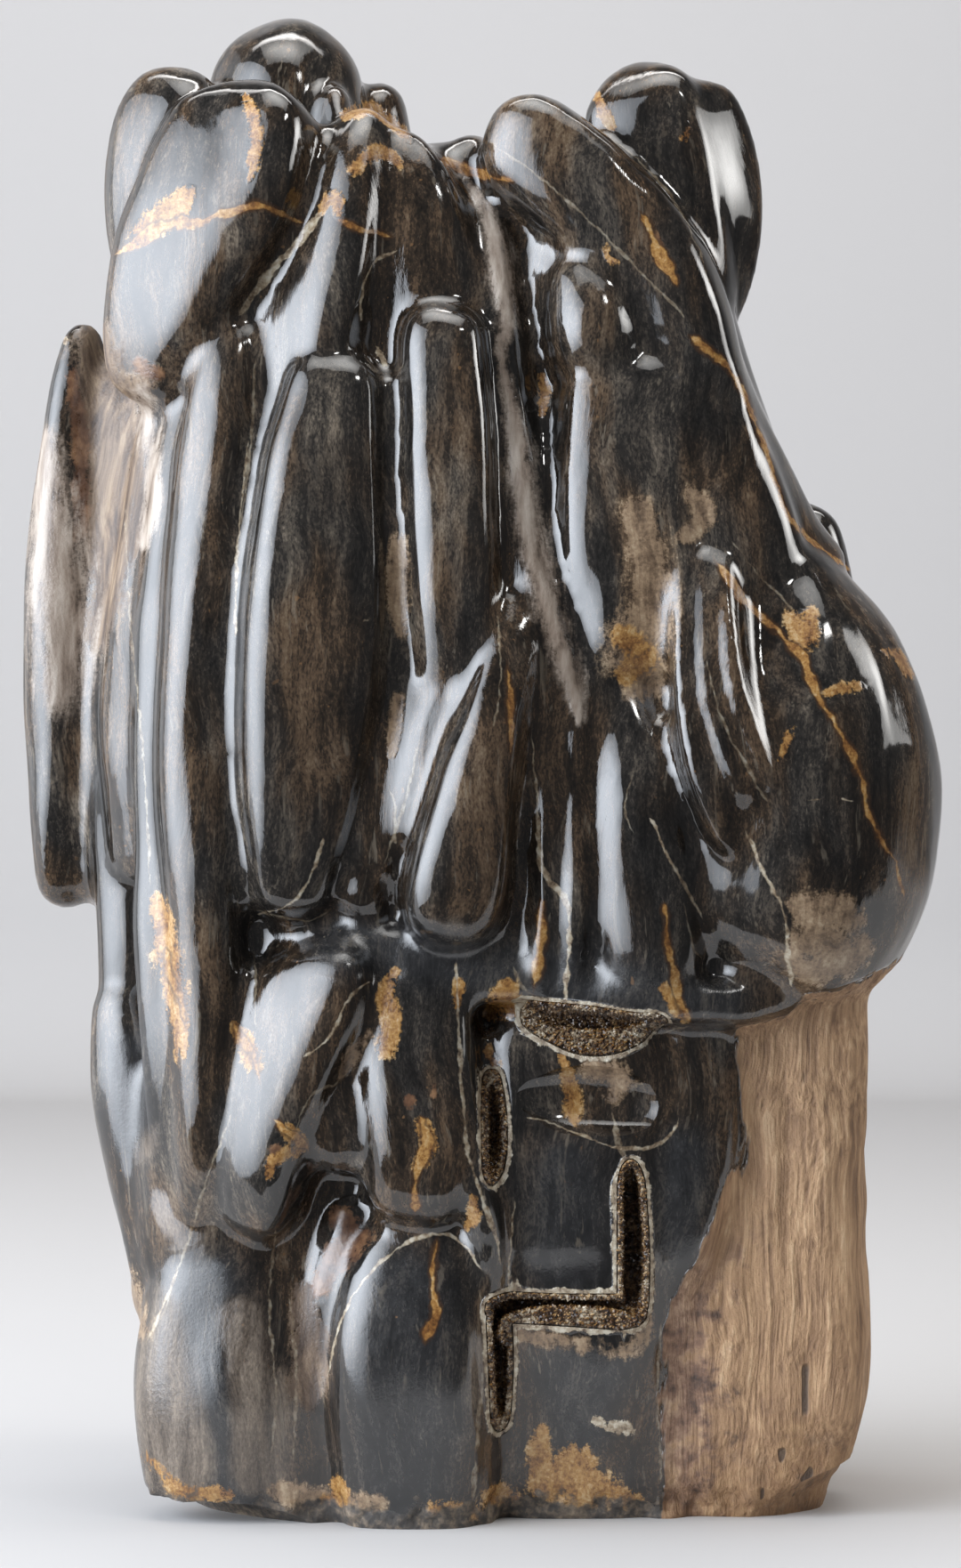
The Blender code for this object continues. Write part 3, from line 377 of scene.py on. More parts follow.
RUST_PATCHES = [
    [(-21, 126, 2.6)],
    [(-14, 130, 1.6), (-13, 127, 1.4)],
    [(-120, 340, 2.5), (-118, 325, 3.5), (-117, 308, 3.5), (-118, 292, 3)],
    [(-42, 92, 4), (-37, 86, 5.5), (-43, 79, 5.5), (-47, 71, 3.5)],
    [(-60, 112, 2), (-61, 105, 1.5)],
    [(50, 382, 1.5), (54, 373, 1.8)],
    [(58, 152, 1.6)],
    [(72, 24, 4), (80, 18, 5), (76, 30, 3)],
    [(58, 56, 4), (62, 40, 4), (57, 28, 4)],
    [(-100, 342, 3), (-95, 339, 3)],
    [(24, 14, 4), (36, 14, 3)],
]

WHITE_PATCHES = [
    [(28, 33, 1.4), (33, 32, 1.6), (38, 30.5, 2.6), (43, 30, 2.6)],
    [(-30, 346, 1.2), (-28, 342, 0.8)],
    [(-122, 349, 1.2)],
]

PALE_PATCHES = [
    # the long crack from the crown down to the belly
    [(-4, 396, 1.5), (1, 388, 2.5), (4, 380, 3.6), (7, 368, 4.2), (8, 355, 3.4), (6, 345, 2.0),
     (8, 335, 2.4), (10, 325, 3.0), (12, 310, 4.0), (14, 295, 4.6), (17, 283, 5.0), (20, 270, 4.6),
     (24, 258, 4.2), (27, 248, 3.2), (29, 238, 2.0)],
    # the bleached outer face of the far left blade
    [(-128, 320, 5), (-127, 300, 8), (-124, 280, 10), (-122, 262, 10), (-123, 246, 7)],
    [(-99, 334, 3), (-97, 320, 3.4), (-96, 304, 3), (-98, 290, 2.4)],
]

WOOD_PATCHES = [
    [(-52, 70, 4), (-51, 58, 6), (-50, 46, 6), (-50, 38, 4)],
    # the tan panel behind the far left blade
    [(-113, 350, 6), (-111, 335, 9), (-109, 315, 10), (-108, 295, 10), (-110, 275, 7),
     (-113, 262, 5)],
    [(-103, 330, 4), (-101, 310, 4), (-101, 290, 3)],
]

BROWN_AREAS = [
    [(-98, 62, 14), (-98, 40, 20), (-92, 20, 18)],
    [(-70, 62, 9), (-66, 40, 10), (-66, 18, 10)],
    [(-44, 335, 14), (-47, 300, 18), (-50, 260, 20), (-50, 225, 16)],
    [(-11, 350, 9), (-8, 310, 12), (-8, 275, 12)],
    [(2, 235, 9), (-3, 205, 12), (-7, 185, 11)],
    [(12, 418, 9), (30, 402, 12), (45, 388, 13), (56, 372, 10)],
    [(28, 375, 12), (32, 355, 16), (34, 340, 12)],
    [(46, 300, 22), (46, 270, 18)],
    [(-30, 412, 10), (-28, 400, 14)],
    [(-90, 428, 8), (-95, 420, 6)],
    [(-86, 170, 10), (-88, 140, 10), (-84, 110, 8)],
    [(-92, 110, 12), (-88, 90, 10)],
    [(-46, 155, 10), (-54, 130, 6)],
    [(126, 245, 12), (128, 215, 12), (122, 190, 10)],
    [(-58, 40, 8), (-56, 20, 8)],
]

GREY_AREAS = [
    [(-80, 70, 20), (-80, 40, 30), (-78, 18, 26)],
    [(-22, 70, 20), (-22, 40, 26), (-22, 15, 22)],
    [(25, 105, 18), (25, 80, 20)],
    [(60, 110, 12), (58, 85, 10)],
    [(-40, 172, 14), (0, 166, 14), (40, 160, 14), (70, 155, 12)],
    [(30, 45, 18), (30, 30, 12)],
    [(62, 20, 8), (62, 8, 8)],
    [(-104, 140, 10), (-102, 115, 10)],
]

# Left edge of the raw, matt wood of the post: (height, across)
RAW_EDGE = [
    (-20, 53), (30, 53), (55, 54), (68, 55), (74, 59), (80, 65), (90, 69),
    (100, 71), (108, 76), (118, 78.5), (130, 77), (150, 76), (170, 78)]
# Its top edge under the belly: (across, height)
RAW_TOP = [(50, 146), (76, 147), (88, 152), (100, 157), (118, 165), (140, 172)]

# Lobes: name, way it faces (degrees right of the front), squareness of the
# section (below 2 is a ridge, 2 is round, above 2 is boxy) and its spine in
# millimetres: across, depth, height, half width and half thickness.
CORE_LOBES = [
    ("trunk", 0, 2.2, [
        (0, 10, -40, 88, 62), (0, 10, 60, 88, 64), (0, 10, 150, 90, 64), (-2, 8, 230, 90, 62),
        (-8, 5, 300, 76, 54), (-14, 2, 360, 60, 46), (-18, 0, 405, 48, 34)]),
    ("heel", 0, 2.4, [(5, 20, -50, 90, 62), (5, 20, 20, 90, 62), (4, 20, 80, 86, 60)]),
    ("crown_bed", 0, 2.4, [
        (-30, -22, 408, 36, 20), (-30, -28, 380, 44, 28), (-24, -32, 345, 46, 30),
        (-20, -34, 310, 46, 30)]),
    ("crown_bed_right", 0, 2.4, [
        (6, -26, 404, 18, 18), (14, -32, 384, 30, 26), (22, -34, 355, 36, 28),
        (26, -36, 320, 38, 28)]),
    ("shoulder_bed", 0, 2.4, [
        (40, -30, 396, 18, 20), (50, -36, 372, 20, 24), (60, -38, 345, 20, 24),
        (70, -38, 315, 20, 24), (80, -36, 285, 24, 26)]),
    ("middle_left_bed", -4, 2.6, [
        (-52, -36, 368, 26, 22), (-56, -40, 330, 32, 28), (-60, -42, 280, 34, 29),
        (-60, -42, 225, 36, 29), (-60, -42, 180, 36, 28), (-58, -40, 140, 34, 26)]),
    ("middle_right_bed", 0, 2.6, [
        (16, -38, 350, 34, 26), (18, -42, 310, 42, 29), (20, -44, 250, 46, 31),
        (22, -44, 195, 46, 31), (24, -42, 150, 44, 28)]),
    ("left_bed", -22, 2.4, [
        (-88, -22, 352, 12, 18), (-96, -26, 315, 14, 20), (-101, -27, 270, 15, 22),
        (-102, -27, 220, 15, 22), (-100, -27, 170, 14, 22), (-96, -27, 120, 14, 20),
        (-90, -27, 50, 14, 20)]),
    ("low_left_bed", 0, 2.6, [
        (-50, -36, 176, 42, 28), (-50, -38, 125, 42, 29), (-50, -38, 70, 42, 28),
        (-48, -34, -14, 40, 26)]),
]

CROWN_LOBES = [
    ("crown_dome", 0, 2.1, [
        (-58, -12, 456, 19, 22), (-59, -12, 440, 23, 26), (-60, -12, 410, 28, 32),
        (-62, -12, 380, 27, 32), (-62, -10, 330, 24, 30)]),
    ("crown_dome_ridge", 10, 1.6, [
        (-45, -32, 432, 6, 8), (-44, -38, 415, 7, 12), (-48, -42, 395, 7, 12),
        (-52, -44, 375, 6, 10)]),
    ("small_crown", 0, 2.0, [
        (-33, 0, 437, 7, 10), (-31, 0, 427, 9, 12), (-29, 0, 405, 11, 16), (-26, 0, 370, 14, 20)]),
    ("left_back_oval", -34, 3.0, [
        (-86, -34, 436, 12, 9), (-93, -36, 421, 17, 12), (-97, -36, 402, 18, 13),
        (-99, -36, 384, 15, 11), (-96, -36, 362, 9, 9)]),
    ("left_oval", -30, 3.6, [
        (-66, -56, 430, 16, 11), (-70, -58, 414, 23, 14), (-77, -59, 393, 26, 16),
        (-86, -58, 373, 24, 16), (-94, -55, 353, 18, 14), (-98, -49, 331, 9, 11)]),
    ("left_oval_core", -12, 2.2, [
        (-68, -48, 420, 14, 16), (-72, -50, 400, 18, 20), (-78, -50, 375, 18, 20),
        (-84, -46, 350, 14, 16)]),
    ("oval_seam_fold", 5, 1.6, [
        (-48, -54, 394, 4, 8), (-57, -59, 376, 5, 9), (-68, -62, 356, 4, 8)]),
    ("centre_crown", -10, 1.6, [
        (-33, -46, 418, 12, 13), (-31, -49, 403, 16, 17), (-30, -50, 385, 20, 21),
        (-30, -50, 365, 24, 22), (-28, -49, 340, 27, 22), (-26, -47, 300, 27, 22)]),
    ("centre_crown_left", -38, 3.0, [
        (-32, -50, 420, 9, 9), (-37, -57, 402, 13, 12), (-43, -61, 380, 17, 13),
        (-50, -63, 358, 19, 14), (-55, -62, 335, 18, 13), (-57, -57, 310, 13, 12)]),
    ("centre_crown_right", 6, 2.8, [
        (-28, -48, 414, 8, 12), (-21, -53, 398, 12, 14), (-17, -56, 380, 16, 15),
        (-14, -57, 362, 19, 15), (-13, -57, 340, 18, 15), (-13, -53, 315, 14, 13)]),
    ("crown_back_left", 180, 2.1, [
        (-46, 32, 424, 14, 14), (-48, 38, 400, 18, 16), (-50, 43, 360, 20, 16),
        (-50, 46, 300, 18, 14)]),
    ("crown_back_middle", 180, 2.1, [
        (-12, 32, 417, 14, 13), (-14, 40, 392, 18, 15), (-14, 46, 350, 20, 14),
        (-12, 50, 300, 18, 12)]),
    ("crown_back_right", 170, 2.1, [
        (28, 24, 420, 13, 13), (30, 34, 396, 17, 15), (32, 42, 350, 19, 14), (34, 48, 300, 18, 12)]),
    ("crown_middle", 0, 2.0, [
        (8, -2, 415, 14, 14), (8, 2, 396, 20, 20), (6, 6, 366, 24, 24)]),
    ("knob_left", 0, 2.0, [
        (-15, -42, 413, 8, 9), (-13, -44, 400, 10, 13), (-11, -45, 378, 12, 15)]),
    ("knob_right", 0, 2.0, [
        (-2, -40, 416, 8, 9), (-3, -43, 403, 10, 12), (-2, -44, 380, 13, 15)]),
    ("right_crown", -10, 3.6, [
        (47, -33, 437, 13, 14), (50, -34, 425, 17, 18), (53, -35, 408, 19, 20),
        (56, -35, 390, 19, 20), (60, -34, 372, 17, 19), (61, -34, 335, 15, 18)]),
    ("right_crown_facet", 44, 4.6, [
        (61, -36, 431, 11, 6), (66, -38, 421, 14, 8), (70, -38, 407, 15, 8), (72, -38, 392, 14, 8),
        (72, -37, 376, 11, 7), (69, -35, 358, 7, 6)]),
    ("right_finger", -20, 3.0, [
        (1, -58, 415, 12, 11), (12, -61, 410, 15, 12), (25, -63, 401, 17, 13),
        (38, -64, 388, 17, 13), (50, -63, 373, 16, 13), (60, -62, 357, 14, 13),
        (69, -60, 341, 10, 12), (78, -56, 324, 8, 11), (87, -52, 306, 8, 11), (97, -48, 291, 8, 11),
        (108, -43, 279, 8, 11)]),
    ("right_finger_lip", 5, 1.8, [
        (4, -56, 402, 4, 8), (20, -61, 389, 5, 10), (36, -63, 375, 6, 11), (50, -63, 361, 6, 11),
        (62, -62, 345, 5, 10), (71, -59, 326, 4, 9), (79, -54, 305, 4, 8)]),
]

MIDDLE_LOBES = [
    ("right_knob", 5, 2.1, [
        (28, -58, 376, 9, 10), (32, -63, 362, 13, 14), (34, -64, 350, 14, 15),
        (36, -60, 334, 12, 13)]),
    ("right_slope", 20, 2.8, [
        (24, -46, 396, 12, 10), (31, -51, 376, 18, 12), (38, -54, 352, 22, 13),
        (44, -54, 330, 22, 13)]),
    ("crack_fill", 0, 2.4, [
        (1, -52, 396, 5, 8), (5, -60, 365, 6, 9), (9, -65, 335, 6, 9), (12, -68, 308, 7, 10),
        (15, -72, 283, 7, 10), (21, -75, 262, 7, 10), (27, -76, 240, 6, 9)]),
    ("right_bulge", 10, 3.2, [
        (44, -60, 349, 17, 12), (46, -64, 332, 23, 14), (47, -67, 308, 25, 15),
        (45, -68, 286, 22, 16), (44, -68, 264, 17, 16), (43, -67, 246, 13, 15)]),
    ("bulge_left_slope", -50, 2.4, [
        (26, -56, 342, 10, 8), (26, -58, 320, 13, 9), (28, -61, 295, 12, 9), (32, -62, 268, 9, 8)]),
    ("bulge_foot", 4, 2.4, [
        (54, -58, 268, 12, 12), (56, -63, 246, 13, 13), (58, -64, 222, 12, 13),
        (58, -62, 200, 10, 12)]),
    ("right_bulge_shoulder", 24, 2.8, [
        (60, -58, 342, 10, 11), (66, -60, 326, 15, 14), (72, -60, 306, 18, 17),
        (77, -58, 285, 20, 20), (82, -55, 262, 22, 22)]),
    ("right_under_bulge", 6, 2.4, [
        (40, -66, 252, 7, 9), (43, -72, 234, 11, 12), (46, -75, 212, 13, 14), (48, -76, 190, 15, 14),
        (50, -75, 170, 15, 14), (52, -71, 152, 10, 10)]),
    ("belly", 14, 2.1, [
        (80, -42, 296, 14, 18), (86, -46, 274, 26, 30), (91, -48, 250, 38, 40),
        (93, -49, 225, 45, 45), (92, -49, 200, 45, 45), (87, -47, 176, 39, 41),
        (78, -46, 150, 29, 31)]),
    ("belly_back", 50, 2.1, [
        (98, 2, 307, 9, 12), (100, 2, 290, 12, 16), (100, 2, 262, 16, 22), (98, 0, 225, 20, 30),
        (92, 4, 180, 20, 28)]),
    ("flute_outer", -14, 1.8, [
        (62, -72, 291, 4, 7), (59, -80, 268, 4, 9), (60, -85, 245, 4, 9), (63, -88, 225, 5, 9),
        (70, -88, 206, 5, 9), (76, -85, 198, 3, 6)]),
    ("flute_middle", -12, 1.7, [
        (67, -75, 288, 3, 6), (66, -82, 268, 4, 8), (67, -87, 247, 4, 8), (71, -91, 228, 4, 8),
        (78, -92, 212, 4, 7)]),
    ("flute_inner", -12, 1.7, [
        (72, -76, 285, 3, 6), (73, -84, 266, 4, 8), (75, -89, 247, 4, 8), (80, -92, 230, 4, 7),
        (86, -93, 216, 3, 6)]),
    ("centre_left_finger", 6, 3.4, [
        (-43, -70, 347, 13, 11), (-45, -73, 333, 15, 13), (-47, -75, 315, 18, 15),
        (-48, -76, 295, 20, 16), (-50, -77, 270, 21, 17), (-51, -77, 245, 21, 17),
        (-52, -77, 225, 19, 16), (-54, -75, 205, 16, 15), (-58, -72, 178, 10, 12)]),
    ("centre_finger", 0, 3.2, [
        (-10, -68, 360, 10, 10), (-11, -71, 347, 12, 12), (-10, -73, 325, 13, 14),
        (-9, -74, 300, 14, 15), (-8, -74, 275, 14, 15), (-8, -73, 255, 12, 14),
        (-11, -70, 232, 8, 11)]),
    ("slanting_finger", 4, 3.2, [
        (13, -74, 276, 4, 7), (9, -79, 258, 8, 11), (4, -82, 240, 10, 14), (0, -84, 222, 12, 15),
        (-4, -85, 205, 13, 16), (-7, -84, 188, 14, 15), (-9, -81, 172, 12, 12)]),
    ("fold_one", 0, 1.7, [
        (2, -74, 285, 3, 6), (-4, -79, 255, 4, 8), (-12, -81, 225, 4, 8), (-19, -81, 201, 3, 6)]),
    ("fold_two", 0, 1.7, [
        (-5, -72, 280, 3, 6), (-12, -77, 250, 4, 8), (-19, -79, 222, 4, 8), (-24, -78, 200, 3, 6)]),
    ("fold_three", 0, 1.7, [
        (-14, -70, 275, 3, 6), (-19, -74, 248, 4, 8), (-25, -76, 220, 4, 8), (-29, -75, 190, 4, 7)]),
    ("fold_four", 0, 1.7, [
        (-28, -70, 340, 3, 7), (-26, -73, 300, 4, 8), (-26, -74, 262, 4, 8), (-30, -75, 225, 4, 8),
        (-37, -76, 190, 4, 7)]),
    ("fold_base", 0, 2.0, [
        (-30, -68, 222, 8, 9), (-33, -71, 200, 9, 10), (-38, -71, 178, 10, 10)]),
    ("ledge_gap", 0, 2.4, [
        (-36, -60, 204, 13, 11), (-30, -62, 186, 13, 12), (-22, -62, 170, 12, 12)]),
    ("rib_zero", 0, 1.8, [
        (13, -70, 232, 4, 8), (12, -74, 205, 5, 9), (9, -73, 180, 7, 9), (6, -71, 160, 7, 8)]),
    ("rib_one", 0, 1.8, [
        (17, -75, 270, 4, 7), (19, -78, 240, 4, 9), (19, -79, 210, 5, 9), (18, -78, 180, 5, 9),
        (17, -75, 158, 4, 8)]),
    ("rib_two", 0, 1.8, [
        (26, -75, 264, 4, 7), (28, -78, 235, 4, 8), (28, -79, 205, 5, 9), (27, -79, 180, 5, 9),
        (26, -75, 156, 4, 8)]),
    ("rib_three", 0, 1.8, [
        (34, -73, 270, 3, 7), (35, -75, 235, 3, 8), (35, -76, 205, 3, 9), (34, -76, 175, 3, 8)]),
]

LEFT_LOBES = [
    ("far_blade", -32, 1.8, [
        (-122, -22, 361, 5, 7), (-123, -24, 345, 8, 11), (-124, -25, 322, 11, 14),
        (-124, -26, 295, 14, 16), (-124, -26, 262, 14, 18), (-125, -26, 230, 13, 17),
        (-126, -25, 205, 11, 15), (-126, -23, 181, 9, 12)]),
    ("far_panel", 16, 2.8, [
        (-109, -20, 350, 8, 10), (-108, -23, 330, 12, 14), (-107, -24, 300, 14, 15),
        (-107, -24, 268, 12, 15), (-106, -24, 235, 10, 14), (-104, -24, 200, 8, 12)]),
    ("left_wall", -70, 2.2, [
        (-96, 6, 392, 18, 10), (-104, 6, 350, 26, 14), (-107, 8, 290, 32, 17),
        (-104, 8, 220, 34, 17), (-96, 8, 150, 34, 15), (-88, 8, 90, 34, 13), (-86, 8, 30, 34, 13),
        (-84, 8, -30, 34, 13)]),
    ("low_blade", -20, 1.9, [
        (-110, -28, 262, 5, 8), (-109, -32, 228, 9, 12), (-108, -34, 198, 9, 13),
        (-105, -36, 176, 8, 11), (-101, -36, 157, 6, 9)]),
    ("left_finger_one", -36, 2.8, [
        (-90, -44, 352, 6, 6), (-93, -48, 322, 10, 9), (-96, -50, 296, 12, 10),
        (-98, -51, 270, 13, 11), (-100, -51, 245, 13, 11), (-101, -50, 220, 11, 10),
        (-102, -46, 190, 8, 8)]),
    ("left_finger_two", -34, 2.6, [
        (-86, -56, 336, 6, 6), (-89, -60, 305, 9, 9), (-91, -61, 272, 10, 10),
        (-92, -62, 240, 10, 11), (-92, -63, 205, 9, 11), (-92, -64, 170, 9, 11),
        (-91, -64, 140, 8, 10), (-91, -61, 112, 7, 9), (-91, -56, 88, 6, 8)]),
    ("left_finger_three", -32, 2.2, [
        (-71, -62, 357, 7, 8), (-74, -66, 342, 9, 11), (-77, -68, 320, 11, 12),
        (-79, -69, 295, 12, 13), (-81, -70, 265, 12, 14), (-82, -71, 235, 12, 14),
        (-82, -72, 205, 12, 14), (-81, -72, 175, 11, 13), (-80, -71, 150, 11, 12),
        (-80, -69, 122, 10, 12), (-82, -62, 88, 8, 10)]),
    ("dark_valley_ridge", 5, 1.7, [
        (-62, -62, 354, 3, 7), (-65, -66, 330, 4, 8), (-68, -69, 300, 4, 8), (-70, -71, 270, 4, 8),
        (-72, -72, 240, 4, 8), (-71, -71, 205, 4, 7)]),
]

LOWER_LOBES = [
    ("ledge_left", 0, 3.0, [
        (-70, -60, 174, 8, 9), (-45, -65, 171, 9, 12), (-20, -68, 167, 9, 13), (2, -69, 163, 8, 14),
        (20, -69, 162, 7, 14)]),
    ("ledge_right", 0, 3.0, [
        (8, -67, 163, 7, 12), (30, -70, 159, 7, 13), (55, -72, 156, 7, 13), (78, -69, 155, 7, 12),
        (98, -58, 160, 6, 10)]),
    ("shoulder_left", -34, 2.2, [
        (-107, -38, 162, 8, 8), (-105, -41, 145, 11, 11), (-104, -43, 124, 12, 12),
        (-101, -44, 102, 12, 12), (-97, -45, 80, 10, 12), (-94, -43, 52, 8, 10)]),
    ("foot_slope", -22, 2.4, [
        (-93, -50, 138, 9, 10), (-89, -53, 112, 14, 13), (-85, -54, 86, 19, 15),
        (-80, -50, 60, 20, 16)]),
    ("foot", -12, 2.9, [
        (-74, -46, 98, 13, 13), (-76, -50, 82, 20, 19), (-77, -50, 62, 24, 22),
        (-78, -49, 38, 26, 25), (-77, -47, 18, 25, 24), (-74, -42, -14, 22, 23)]),
    ("foot_right", -4, 2.6, [
        (-63, -54, 90, 9, 9), (-63, -58, 66, 12, 12), (-62, -58, 38, 13, 13), (-62, -56, 12, 13, 13),
        (-61, -54, -14, 11, 12)]),
    ("lower_slanting_finger", -30, 3.0, [
        (-48, -68, 174, 18, 11), (-49, -73, 157, 20, 14), (-54, -75, 138, 17, 14),
        (-60, -75, 118, 14, 13), (-64, -73, 101, 12, 12), (-66, -66, 86, 9, 10)]),
    ("lower_facet", -34, 2.6, [
        (-38, -70, 142, 8, 10), (-40, -74, 122, 9, 12), (-41, -74, 104, 8, 10)]),
    ("dark_block", 0, 3.0, [
        (-20, -68, 166, 13, 11), (-19, -74, 148, 16, 13), (-19, -76, 125, 17, 15),
        (-19, -75, 105, 16, 15), (-20, -71, 89, 14, 13)]),
    ("low_dome", -2, 3.2, [
        (-17, -62, 90, 14, 12), (-19, -66, 78, 19, 15), (-21, -67, 60, 22, 17),
        (-22, -66, 38, 23, 18), (-21, -63, 16, 22, 17), (-19, -58, -14, 18, 17)]),
    ("valley_fill", 0, 2.2, [
        (-38, -58, 99, 9, 11), (-42, -60, 80, 9, 12), (-48, -59, 60, 8, 12), (-50, -57, 35, 7, 12),
        (-50, -54, -14, 7, 12)]),
    ("centre_seam", 0, 2.0, [
        (-7, -72, 168, 4, 7), (-5, -77, 140, 4, 8), (-3, -78, 110, 4, 8), (2, -74, 85, 5, 7),
        (3, -70, 60, 5, 7), (1, -66, 30, 4, 7), (0, -60, -14, 4, 7)]),
    ("right_block", 0, 4.0, [
        (28, -42, 166, 26, 30), (28, -44, 140, 30, 32), (29, -45, 112, 31, 32),
        (29, -45, 85, 30, 31), (29, -43, 55, 28, 30), (28, -38, 25, 27, 27), (28, -34, -14, 26, 24)]),
    ("right_block_panel", 0, 4.5, [
        (25, -60, 105, 15, 16), (25, -61, 85, 15, 16), (25, -61, 68, 15, 15)]),
    ("dark_panel", 10, 3.2, [
        (62, -48, 160, 12, 14), (62, -52, 140, 13, 20), (61, -53, 112, 13, 21),
        (58, -52, 85, 12, 20), (54, -48, 60, 8, 18), (53, -44, 30, 7, 18), (53, -40, -14, 6, 18)]),
    ("raw_post", 0, 5.0, [
        (83, -32, 186, 30, 27), (84, -33, 155, 33, 31), (84, -33, 110, 32, 32),
        (84, -32, 65, 32, 32), (84, -31, 34, 32, 32), (80, -29, 14, 29, 31), (76, -26, -14, 26, 30)]),
    ("right_wall", 72, 2.4, [
        (88, 12, 190, 30, 14), (88, 14, 130, 34, 18), (88, 14, 70, 34, 18), (88, 14, 20, 34, 18),
        (86, 14, -30, 34, 16)]),
]

# Lobes of the back, set round the trunk in order from the seed below
BACK_SEED = 7
BACK_RING = [
    # how many, lowest and highest end, half width, distance outside the trunk
    (11, (-40, 60), (120, 210), (11, 18), 3),
    (10, (90, 150), (260, 330), (10, 17), 5),
    (8, (230, 280), (360, 410), (9, 15), 3),
]
BACK_CENTRE = (0, 8)
BACK_RADII = (86, 68)
BACK_SUNK = 0.94
BACK_NARROWING = 0.34
BACK_NARROWS_FROM = 200
BACK_HEIGHT = 210
BACK_FROM = 80
BACK_TO = 280
BACK_LEAN = 9
BACK_PLACE = (0.2, 0.8)
BACK_TAPER = (0.55, 0.9, 1.0, 1.0, 0.8)

# Chips broken from the underside edge, as lobes that are cut away
BASE_CHIPS = [
    ("chip_left", -20, 2.0, [
        (-44, -76, -8, 11, 12), (-62, -72, -8, 13, 14), (-80, -62, -8, 16, 16),
        (-97, -46, -8, 20, 18), (-108, -16, -8, 25, 18), (-108, 16, -8, 22, 16)]),
    ("chip_middle", 0, 2.0, [
        (10, -72, -8, 9, 9), (24, -70, -8, 13, 10), (40, -70, -8, 13, 10), (58, -72, -8, 8, 9)]),
    ("chip_right", 20, 2.0, [
        (66, -68, -10, 9, 10), (84, -66, -8, 16, 13), (100, -62, -8, 21, 16), (118, -46, -8, 28, 18),
        (124, -14, -8, 26, 18)]),
    ("chip_back", 180, 2.0, [
        (70, 82, -8, 12, 12), (20, 96, -8, 15, 16), (-40, 92, -8, 14, 14), (-84, 66, -8, 12, 12)]),
]

# Shallow dished faces of the dark block, also cut away
SCOOPS = [
    ("dish", 0, 2.0, [
        (6, -82, 128, 4, 6), (20, -86, 127, 12, 14),
        (36, -87, 126, 13, 16), (52, -85, 124, 10, 12),
        (62, -82, 122, 5, 6)]),
]

# Mounds of crystals along the lower lips of two hollows
MOUNDS = {
    "crust_crescent": [
        ("crescent_mound", 0, 2.0, [
            (13, -74, 146, 3, 5), (23, -75, 143, 4.5, 6),
            (33, -75, 141.5, 5, 7), (44, -75, 143, 4.5, 6),
            (53, -75, 147, 3, 5)])],
    "crust_corner": [
        ("corner_mound", 0, 2.2, [
            (5, -70, 57, 4, 6), (14, -72, 58, 6, 7),
            (26, -72, 58.5, 6.5, 7), (38, -72, 58, 6, 7),
            (48, -72, 56, 5, 6)])],
}

# Hollows: each is one or more lobe-shaped pieces, in the same terms
HOLLOWS = {
    "crust_crescent": [
        ("crescent", 0, 2.0, [
            (8, -80, 153, 4, 8), (18, -80, 149.5, 6, 12),
            (32, -80, 146.5, 8, 15), (45, -80, 147, 6, 12),
            (55, -79, 150.5, 3, 7)])],
    "crust_upper_slot": [
        ("upper_slot", 0, 2.4, [
            (3, -80, 137, 3, 8), (4, -80, 122, 4, 14),
            (4, -80, 110, 4, 13), (3, -80, 101, 3, 8)])],
    "crust_corner": [
        ("corner_upright", 0, 3.6, [
            (44, -76, 109, 4, 12), (45, -76, 84, 5, 15),
            (45, -76, 58, 5, 15)]),
        ("corner_level", 0, 3.6, [
            (1, -74, 65, 5, 13), (24, -76, 64, 5, 15),
            (50, -76, 63, 6, 15)]),
        ("corner_drop", 0, 3.0, [
            (5, -72, 68, 4, 12), (6, -72, 48, 4, 14),
            (6, -70, 26, 3, 10)])],
}


def new_collection(name):
    collection = bpy.data.collections.new(name)
    bpy.context.scene.collection.children.link(collection)
    return collection


def smooth_spine(rows, steps=16):
    """Points along a Catmull-Rom curve through the rows."""
    rows = np.array(rows, dtype=float)
    padded = np.vstack([2 * rows[0] - rows[1], rows, 2 * rows[-1] - rows[-2]])
    points = []
    for i in range(len(rows) - 1):
        a, b, c, d = padded[i:i + 4]
        for t in np.linspace(0.0, 1.0, steps, endpoint=False):
            points.append(0.5 * (2 * b + (c - a) * t
                                 + (2 * a - 5 * b + 4 * c - d) * t ** 2
                                 + (3 * b - a - 3 * c + d) * t ** 3))
    points.append(rows[-1])
    return np.array(points)


def unit_ball(ribs, rings):
    """One unit sphere mesh, the stock every lobe is drawn out from."""
    mesh = bmesh.new()
    bmesh.ops.create_uvsphere(mesh, u_segments=ribs, v_segments=rings, radius=1.0)
    data = bpy.data.meshes.new("unit_ball")
    mesh.to_mesh(data)
    mesh.free()
    return data


def unit_rows(vectors):
    return vectors / np.linalg.norm(vectors, axis=1)[:, None]


def signed_power(values, power):
    return np.sign(values) * np.abs(values) ** power


def round_over(distance, cap):
    """Share of the full width at a distance in from a rounded end."""
    return np.sqrt(1.0 - (1.0 - np.clip(distance / cap, 0.0, 1.0)) ** 2)


